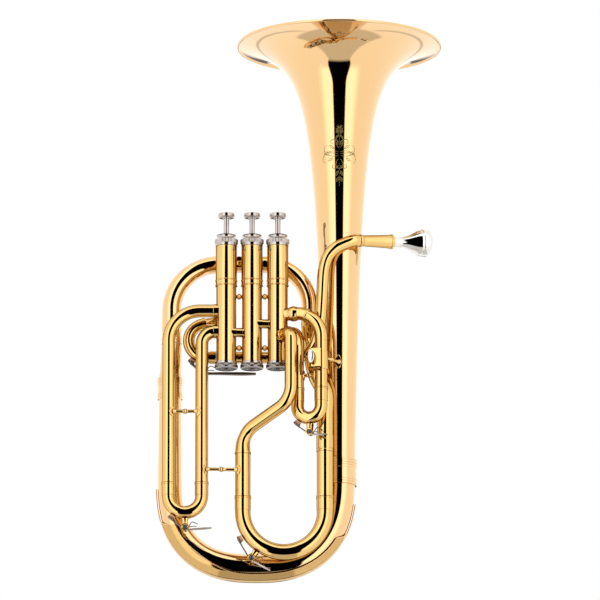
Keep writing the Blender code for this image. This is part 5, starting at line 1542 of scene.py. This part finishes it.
class WaterKey:
    """Places of one water key: its bow, pivot and touch, and the directions that its pieces are made in."""

    def __init__(self, index, centre, across, outer):
        self.number = index + 1
        self.body = NODE_BODY[f"water_key_{self.number}"]
        self.centre, self.across, self.outer = centre, across, outer
        self.up = np.array((0, 0, 1.0))
        self.normal = np.cross(self.up, across)
        angle = math.radians(KEY_ANGLE[index])
        self.cork_turn = angle - math.radians(KEY_CORK_TURN[index])
        self.reach = outer + KEY_LIFT[index]
        self.pivot = self.spot(self.reach, angle)
        self.tip = self.pivot + across * KEY_TOUCH[index][0] + self.up * KEY_TOUCH[index][1]
        self.outward = unit(self.pivot - centre)

    def spot(self, radius, turn):
        """A point in the bow's plane, by its distance and angle from the bow's centre."""
        return self.centre + self.across * radius * math.cos(turn) + self.up * radius * math.sin(turn)

    def fit(self, part, form, finish, *nodes, body=None):
        """Adds a piece of the key, which rides on the key unless it has a body of its own."""
        fitted(f"water_key_{self.number}_{part}", form, finish, *nodes, body=body or self.body)


class HORN_OT_water_keys(Operator):
    """Makes the water keys: their posts, pivot screws, springs, levers, cups and corks"""

    bl_idname = "horn.water_keys"
    bl_label = "Water keys"

    def execute(self, context):
        for index, bow in enumerate(key_bows()):
            key = WaterKey(index, *bow)
            self.post(key)
            self.lever(key)
            self.cup(key)
            self.spring(key)
        return {"FINISHED"}

    def post(self, key):
        """Two rounded ears on a foot, with the pivot screw through them."""
        tangent = np.cross(key.normal, key.outward)

        def plate(outline, across, levels):
            """A plate from its outline, in layers of (distance across, narrowing)."""
            return solid([
                [key.pivot + tangent * x * narrow + key.outward * y + across * out for x, y in outline]
                for out, narrow in levels
            ])

        bow = key.outer - key.reach
        ear = [(3.4, bow + 0.35), (2.7, bow + 1.8), (2.5, -1.4)]
        mirror = [(-x, y) for x, y in reversed(ear)]
        for turn in np.radians(np.linspace(-30, 210, 11)):
            ear.append((EAR_RADIUS * math.cos(turn), EAR_RADIUS * math.sin(turn)))
        ear += mirror
        layers = ((2.9, 1.0), (3.4, 1.0), (3.9, 0.86), (4.25, 0.6), (4.5, 0.25))
        parts = [plate(ear, side, layers) for side in (-key.normal, key.normal)]
        base = [(-3.4, bow + 0.3), (3.4, bow + 0.3), (3.0, bow + 1.2), (-3.0, bow + 1.2)]
        parts.append(plate(base, np.cross(tangent, key.outward), ((-3.6, 1.0), (3.6, 1.0))))
        saddle = f"water_key_saddle_{key.number}"
        body = NODE_BODY[saddle]
        key.fit("post", joined(parts), "tube_lacquer", saddle, body=body)
        axis = key.normal if key.normal[1] > 0 else -key.normal
        head = [
            (0.0, -4.8), (0.4, -4.8), (0.5, -5.2), (1.2, -5.1), (2.0, -4.6), (2.35, -4.3), (2.3, -4.2),
            (0.9, -4.2), (0.9, 4.6), (1.5, 4.6), (1.4, 5.0), (0.0, 5.0),
        ]
        screw = turned_skin(head, key.pivot, axis, steps=32, hollow=False)
        key.fit("screw", screw, "oiled_steel", body=body)
        ring = [(2.45, -4.1), (2.45, -5.0), (2.8, -5.3), (3.4, -5.2), (3.7, -4.8), (3.7, -4.1)]
        key.fit("washer", turned_skin(ring, key.pivot, axis, steps=32), "tube_lacquer", body=body)

    def lever(self, key):
        """A flat arm from the cup, over the pivot's barrel, to a curved touch."""
        arm_end = key.spot(key.outer + GAP + 4.0, key.cork_turn)
        bend = (arm_end + key.pivot) / 2 + key.outward * 1.0
        over = key.pivot * 0.6 + key.tip * 0.4 + key.outward * 1.2
        route = flowing([arm_end, bend, key.pivot + key.outward * 1.6, over, key.tip], steps=7)
        share = np.linspace(0, 1, len(route))
        widths = np.interp(share, (0, 0.15, 0.5, 0.72, 0.9, 1.0), (1.9, 1.4, 1.6, 1.9, 2.3, 1.5))
        split = int(np.argmin(np.linalg.norm(route - key.pivot, axis=1)))
        long = key.number == 4
        squash = 0.85 if long else 0.5
        barrel = [(1.0, -2.5), (2.1, -2.5), (2.3, -2.2), (2.3, 2.2), (2.1, 2.5), (1.0, 2.5)]
        arm = joined([
            wire_skin(route[: split + 1], widths[: split + 1], 14, key.normal, squash),
            turned_skin(barrel, key.pivot, key.normal, steps=28),
        ])
        key.fit("arm", arm, "tarnished_nickel", f"water_key_{key.number}")
        touch = wire_skin(route[split:], widths[split:], 14, key.normal, squash)
        # The fourth key's long touch, under the casings, is made in nickel darkened as painted shade.
        key.fit("touch", touch, "dark_nickel" if long else "nickel_plate")

    def cup(self, key):
        low = key.spot(key.outer + 0.2, key.cork_turn)
        axis = unit(key.spot(key.outer + 5, key.cork_turn) - low)
        cork = [(0.0, 0.0), (2.9, 0.0), (3.25, 0.35), (3.3, 2.9), (0.0, 2.9)]
        key.fit("cork", turned_skin(cork, low, axis, steps=28, hollow=False), "pressed_cork")
        shell = [
            (0.0, 3.0), (3.35, 3.0), (3.35, 2.4), (3.7, 2.4), (3.85, 2.7), (3.8, 3.7), (3.5, 4.2),
            (2.6, 4.6), (1.3, 4.9), (0.0, 5.0),
        ]
        key.fit("cup", turned_skin(shell, low, axis, steps=32, hollow=False), "tarnished_nickel")

    def spring(self, key):
        """A wire wound round the barrel's ends, with one leg under the lever and one on the bow."""
        pivot, normal, outward = key.pivot, key.normal, key.outward
        along = unit(key.tip - pivot)
        over = np.cross(normal, along)
        coil = []
        for step in range(37):
            turn = 2 * math.pi * step / 12
            side = -2.4 + 4.8 * step / 36
            around = along * math.cos(turn) + over * math.sin(turn)
            coil.append(pivot + around * KEY_COIL_RADIUS + normal * side)
        leg = pivot + along * 11.5 - outward * 1.0 - normal * 2.0
        foot = pivot + along * 13.0 - outward * 4.2 + normal * 2.0
        knee = pivot + along * 7.5 - outward * 6.4 + normal * 2.0
        first = flowing([leg, (leg + coil[0]) / 2 - outward * 0.5, coil[0]], 6)
        last = flowing([coil[-1], (knee + coil[-1]) / 2 - outward * 0.8, knee, foot], 6)
        route = np.concatenate([first[:-1], coil, last[1:]])
        key.fit("spring", wire_skin(route, KEY_WIRE), "oiled_steel")


# Lyre holder


def square(blunt):
    """A square's outline from -1 to 1, with cut corners."""
    edge = 1 - (1 - blunt) * 0.4
    return ((1, -edge), (1, edge), (edge, 1), (-edge, 1), (-1, edge), (-1, -edge), (-edge, -1), (edge, -1))


class HORN_OT_lyre_holder(Operator):
    """Makes the lyre holder and its thumbscrew"""

    bl_idname = "horn.lyre_holder"
    bl_label = "Lyre holder"

    def execute(self, context):
        thickness = LYRE_SIZE[1]
        centre = at(LYRE_X, FIRST_DEPTHS[1] - LEG_RADIUS - GAP - thickness / 2, LYRE_Z)
        self.socket(centre)
        self.sleeve()
        self.thumbscrew(centre + np.array((SCREW_SIDE, 0, 0)))
        return {"FINISHED"}

    def socket(self, centre):
        """A square box, open at both ends, with its edges softened."""
        width, thickness, height = LYRE_SIZE
        rows = []
        for across, over, blunt, end in (
            (width, thickness, 0.55, 1), (width, thickness, 0.55, -1),
            (*LYRE_SLOT, 0.7, -1), (*LYRE_SLOT, 0.7, 1),
        ):
            rows.append([(x * (across / 2), y * (over / 2), end * height / 2) for x, y in square(blunt)])
        rings = np.array(rows) @ np.array(Matrix.Rotation(LYRE_LEAN, 3, "Z")).T + centre
        made = fitted("lyre_socket", (rings, skin(rings, looped=True)), "tube_lacquer", "lyre_holder")
        bevel = made.modifiers.new("edges", "BEVEL")
        bevel.width = 0.35 * MM
        bevel.segments = 2
        bevel.limit_method = "ANGLE"
        bevel.angle_limit = math.radians(40)
        bevel.harden_normals = False

    def sleeve(self):
        """The sleeve soldered round the slide's tube, which the socket stands on."""
        half = LYRE_SIZE[2] / 2
        low, high = LEG_RADIUS + 0.05, LEG_RADIUS + 0.7
        profile = [
            (low, -half), (high - 0.2, -half), (high, -half + 0.3), (high, half - 0.3), (high - 0.2, half),
            (low, half),
        ]
        centre = at(FIRST_X[1], FIRST_DEPTHS[1], LYRE_Z)
        turned("lyre_sleeve", profile, centre, "tube_lacquer", body="horn", steps=48)

    def thumbscrew(self, start):
        """A shaft into the socket, with an oval wing on it."""
        forward = np.array((math.sin(SCREW_TURN), -math.cos(SCREW_TURN), 0))
        side = np.cross(forward, (0, 0, 1))
        head = LYRE_SIZE[1] / 2 / math.cos(SCREW_TURN) + 3.0
        tip = LYRE_SLOT[1] / 2 / math.cos(SCREW_TURN) + 1.6
        shaft = [
            (0.0, tip), (1.4, tip), (1.6, tip + 0.3),
            *stepped(0, head, (1.6, -1.2), (2.6, -1.0), (2.7, -0.2), (2.2, 0.2), (0.0, 0.3)),
        ]
        wing = []
        for level, size in ((0, 0.72), (0.5, 0.95), (1.5, 1.0), (2.9, 0.95), (3.6, 0.72), (3.8, 0.3)):
            middle = start + forward * (head + level)
            ring = []
            for step in range(36):
                turn = 2 * math.pi * step / 36
                high = np.array((0, 0, 7.0)) * size * math.sin(turn)
                ring.append(middle + side * 3.4 * size * math.cos(turn) + high)
            wing.append(ring)
        parts = [turned_skin(shaft, start, forward, steps=28, hollow=False), solid(wing)]
        fitted("lyre_screw_wing", joined(parts), "silver_plate", "lyre_thumbscrew")


# Studio


class Room(Nodes):
    """The white room's node tree."""

    def __init__(self, tree):
        super().__init__(tree)
        tree.nodes.clear()

    def maths(self, operation, *values):
        made = self.node("ShaderNodeMath", operation=operation)
        for socket, value in zip(made.inputs, values):
            self.feed(socket, value)
        return made.outputs[0]

    def times(self, first, second):
        return self.maths("MULTIPLY", first, second)

    def ramp(self, value, low, high, new_low, new_high):
        """A smooth change from one angle in degrees to another."""
        return self.ranged(value, math.radians(low), math.radians(high), new_low, new_high)

    def between(self, value, low, high, soft):
        """1 between two angles in degrees, falling to 0 outside them."""
        above = self.ramp(value, low - soft, low + soft, 0.0, 1.0)
        below = self.ramp(value, high - soft, high + soft, 1.0, 0.0)
        return self.times(above, below)


class HORN_OT_studio(Operator):
    """Sets up the camera, the pale floor and the white room with its dark gap behind the camera"""

    bl_idname = "horn.studio"
    bl_label = "Studio"

    def execute(self, context):
        studio = context.scene.horn_studio
        self.camera(context, studio)
        self.room(context, studio)
        self.floor(context, studio)
        context.scene.view_settings.view_transform = "Standard"
        context.scene.view_settings.look = "None"
        return {"FINISHED"}

    def camera(self, context, studio):
        camera = bpy.data.cameras.new("photo_camera")
        camera.sensor_width = 36.0
        camera.lens = studio.lens
        camera.clip_end = 50.0
        eye = bpy.data.objects.new("photo_camera", camera)
        context.scene.collection.objects.link(eye)
        back = Vector((0, -math.cos(studio.rise), math.sin(studio.rise)))
        eye.location = Vector(CAMERA_AIM) + back * studio.distance
        eye.rotation_euler = (-back).to_track_quat("-Z", "Y").to_euler()
        context.scene.camera = eye

    def room(self, context, studio):
        """White all round, brighter beside the camera, with a dark upright gap at the camera.

        Angles are in degrees: around from the camera's side, and rise above the level.
        """
        world = bpy.data.worlds.new("white_room")
        world.use_nodes = True
        context.scene.world = world
        room = Room(world.node_tree)
        split = room.node("ShaderNodeSeparateXYZ")
        room.feed(split.inputs[0], room.node("ShaderNodeTexCoord").outputs["Generated"])
        x, y, z = split.outputs
        ahead = room.times(y, -1.0)
        around = room.maths("ABSOLUTE", room.maths("ARCTAN2", x, ahead))
        rise = room.maths("ARCSINE", z)
        width = room.ramp(rise, -50, -22, studio.slot_foot, studio.slot)
        gap = room.ramp(room.maths("SUBTRACT", around, width), -1.8, 1.8, 1.0, 0.0)
        gap = room.times(gap, room.between(rise, -53, 46, 3))
        boxes = room.ramp(around, 38, 60, studio.boxes - 1.0, 0.0)
        boxes = room.times(boxes, room.between(rise, -41, 62, 6))
        aside = room.maths("DIVIDE", room.maths("ABSOLUTE", x), room.maths("ABSOLUTE", z))
        near = room.ramp(rise, -54, -50, 1.0 - studio.ground, 0.0)
        near = room.times(near, room.ranged(aside, 0.33, 0.39, 1.0, 0.0))
        behind = room.times(room.ramp(around, 173.5, 176, 0.0, 0.88), room.between(rise, -17, 8, 2))
        seam = room.times(room.between(around, 165.5, 167.0, 0.6), room.between(rise, -50, 30, 4))
        shadow = room.maths("MAXIMUM", room.maths("MAXIMUM", near, behind), room.times(seam, 0.4))
        light = room.times(room.maths("ADD", boxes, 1.0), room.maths("SUBTRACT", 1.0, shadow))
        light = room.times(light, room.maths("SUBTRACT", 1.0, room.times(gap, 0.9995)))
        shown = room.node("ShaderNodeMix")
        seen = room.node("ShaderNodeLightPath").outputs["Is Camera Ray"]
        for index, value in ((0, seen), (2, room.times(light, studio.walls)), (3, 1.0)):
            room.feed(shown.inputs[index], value)
        background = room.node("ShaderNodeBackground")
        room.feed(background.inputs["Color"], (1.0, 1.0, 1.0))
        room.feed(background.inputs["Strength"], shown.outputs[0])
        room.feed(room.node("ShaderNodeOutputWorld").inputs["Surface"], background.outputs[0])

    def floor(self, context, studio):
        shape = bmesh.new()
        bmesh.ops.create_circle(shape, cap_ends=True, segments=96, radius=9.0)
        mesh = bpy.data.meshes.new("studio_floor")
        shape.to_mesh(mesh)
        shape.free()
        finish = Finish("pale_floor", (0.66, 0.66, 0.66), 0.0, 0.8)
        cloud = finish.ranged(finish.noise(3.0), 0.3, 0.7, 0.0, 1.0)
        finish.show("Base Color", finish.mixed(cloud, (0.65, 0.65, 0.65), (0.68, 0.68, 0.68)))
        mesh.materials.append(finish.material)
        floor = bpy.data.objects.new("studio_floor", mesh)
        floor.location.z = -studio.floor_drop
        floor.visible_glossy = False
        context.scene.collection.objects.link(floor)


OPERATORS = (
    HORN_OT_bell, HORN_OT_main_bows, HORN_OT_valves, HORN_OT_buttons, HORN_OT_valve_slides,
    HORN_OT_tuning_slide, HORN_OT_leadpipe, HORN_OT_mouthpiece, HORN_OT_braces, HORN_OT_water_keys,
    HORN_OT_lyre_holder, HORN_OT_studio,
)


class HORN_PT_looks(Panel):
    """Lists the horn's pieces and the sizes and colours that they use"""

    bl_idname = "HORN_PT_looks"
    bl_label = "Alto horn"
    bl_space_type = "VIEW_3D"
    bl_region_type = "UI"
    bl_category = "Horn"

    def draw(self, context):
        layout = self.layout
        layout.use_property_split = True
        for title, name in (("Finishes", "horn_finishes"), ("Trim", "horn_trim"), ("Studio", "horn_studio")):
            group = getattr(context.scene, name)
            box = layout.box()
            box.label(text=title)
            for setting in group.__annotations__:
                box.prop(group, setting)
        column = layout.column(align=True)
        for operator in OPERATORS:
            column.operator(operator.bl_idname)


GROUPS = {"horn_finishes": HornFinishes, "horn_trim": HornTrim, "horn_studio": HornStudio}


def register():
    for made in (*GROUPS.values(), *OPERATORS, HORN_PT_looks):
        bpy.utils.register_class(made)
    for name, group in GROUPS.items():
        setattr(bpy.types.Scene, name, PointerProperty(type=group))


def unregister():
    for name in GROUPS:
        delattr(bpy.types.Scene, name)
    for made in reversed((*GROUPS.values(), *OPERATORS, HORN_PT_looks)):
        bpy.utils.unregister_class(made)


def main():
    register()
    for operator in OPERATORS:
        getattr(bpy.ops.horn, operator.bl_idname.split(".")[1])()


if __name__ == "__main__":
    main()
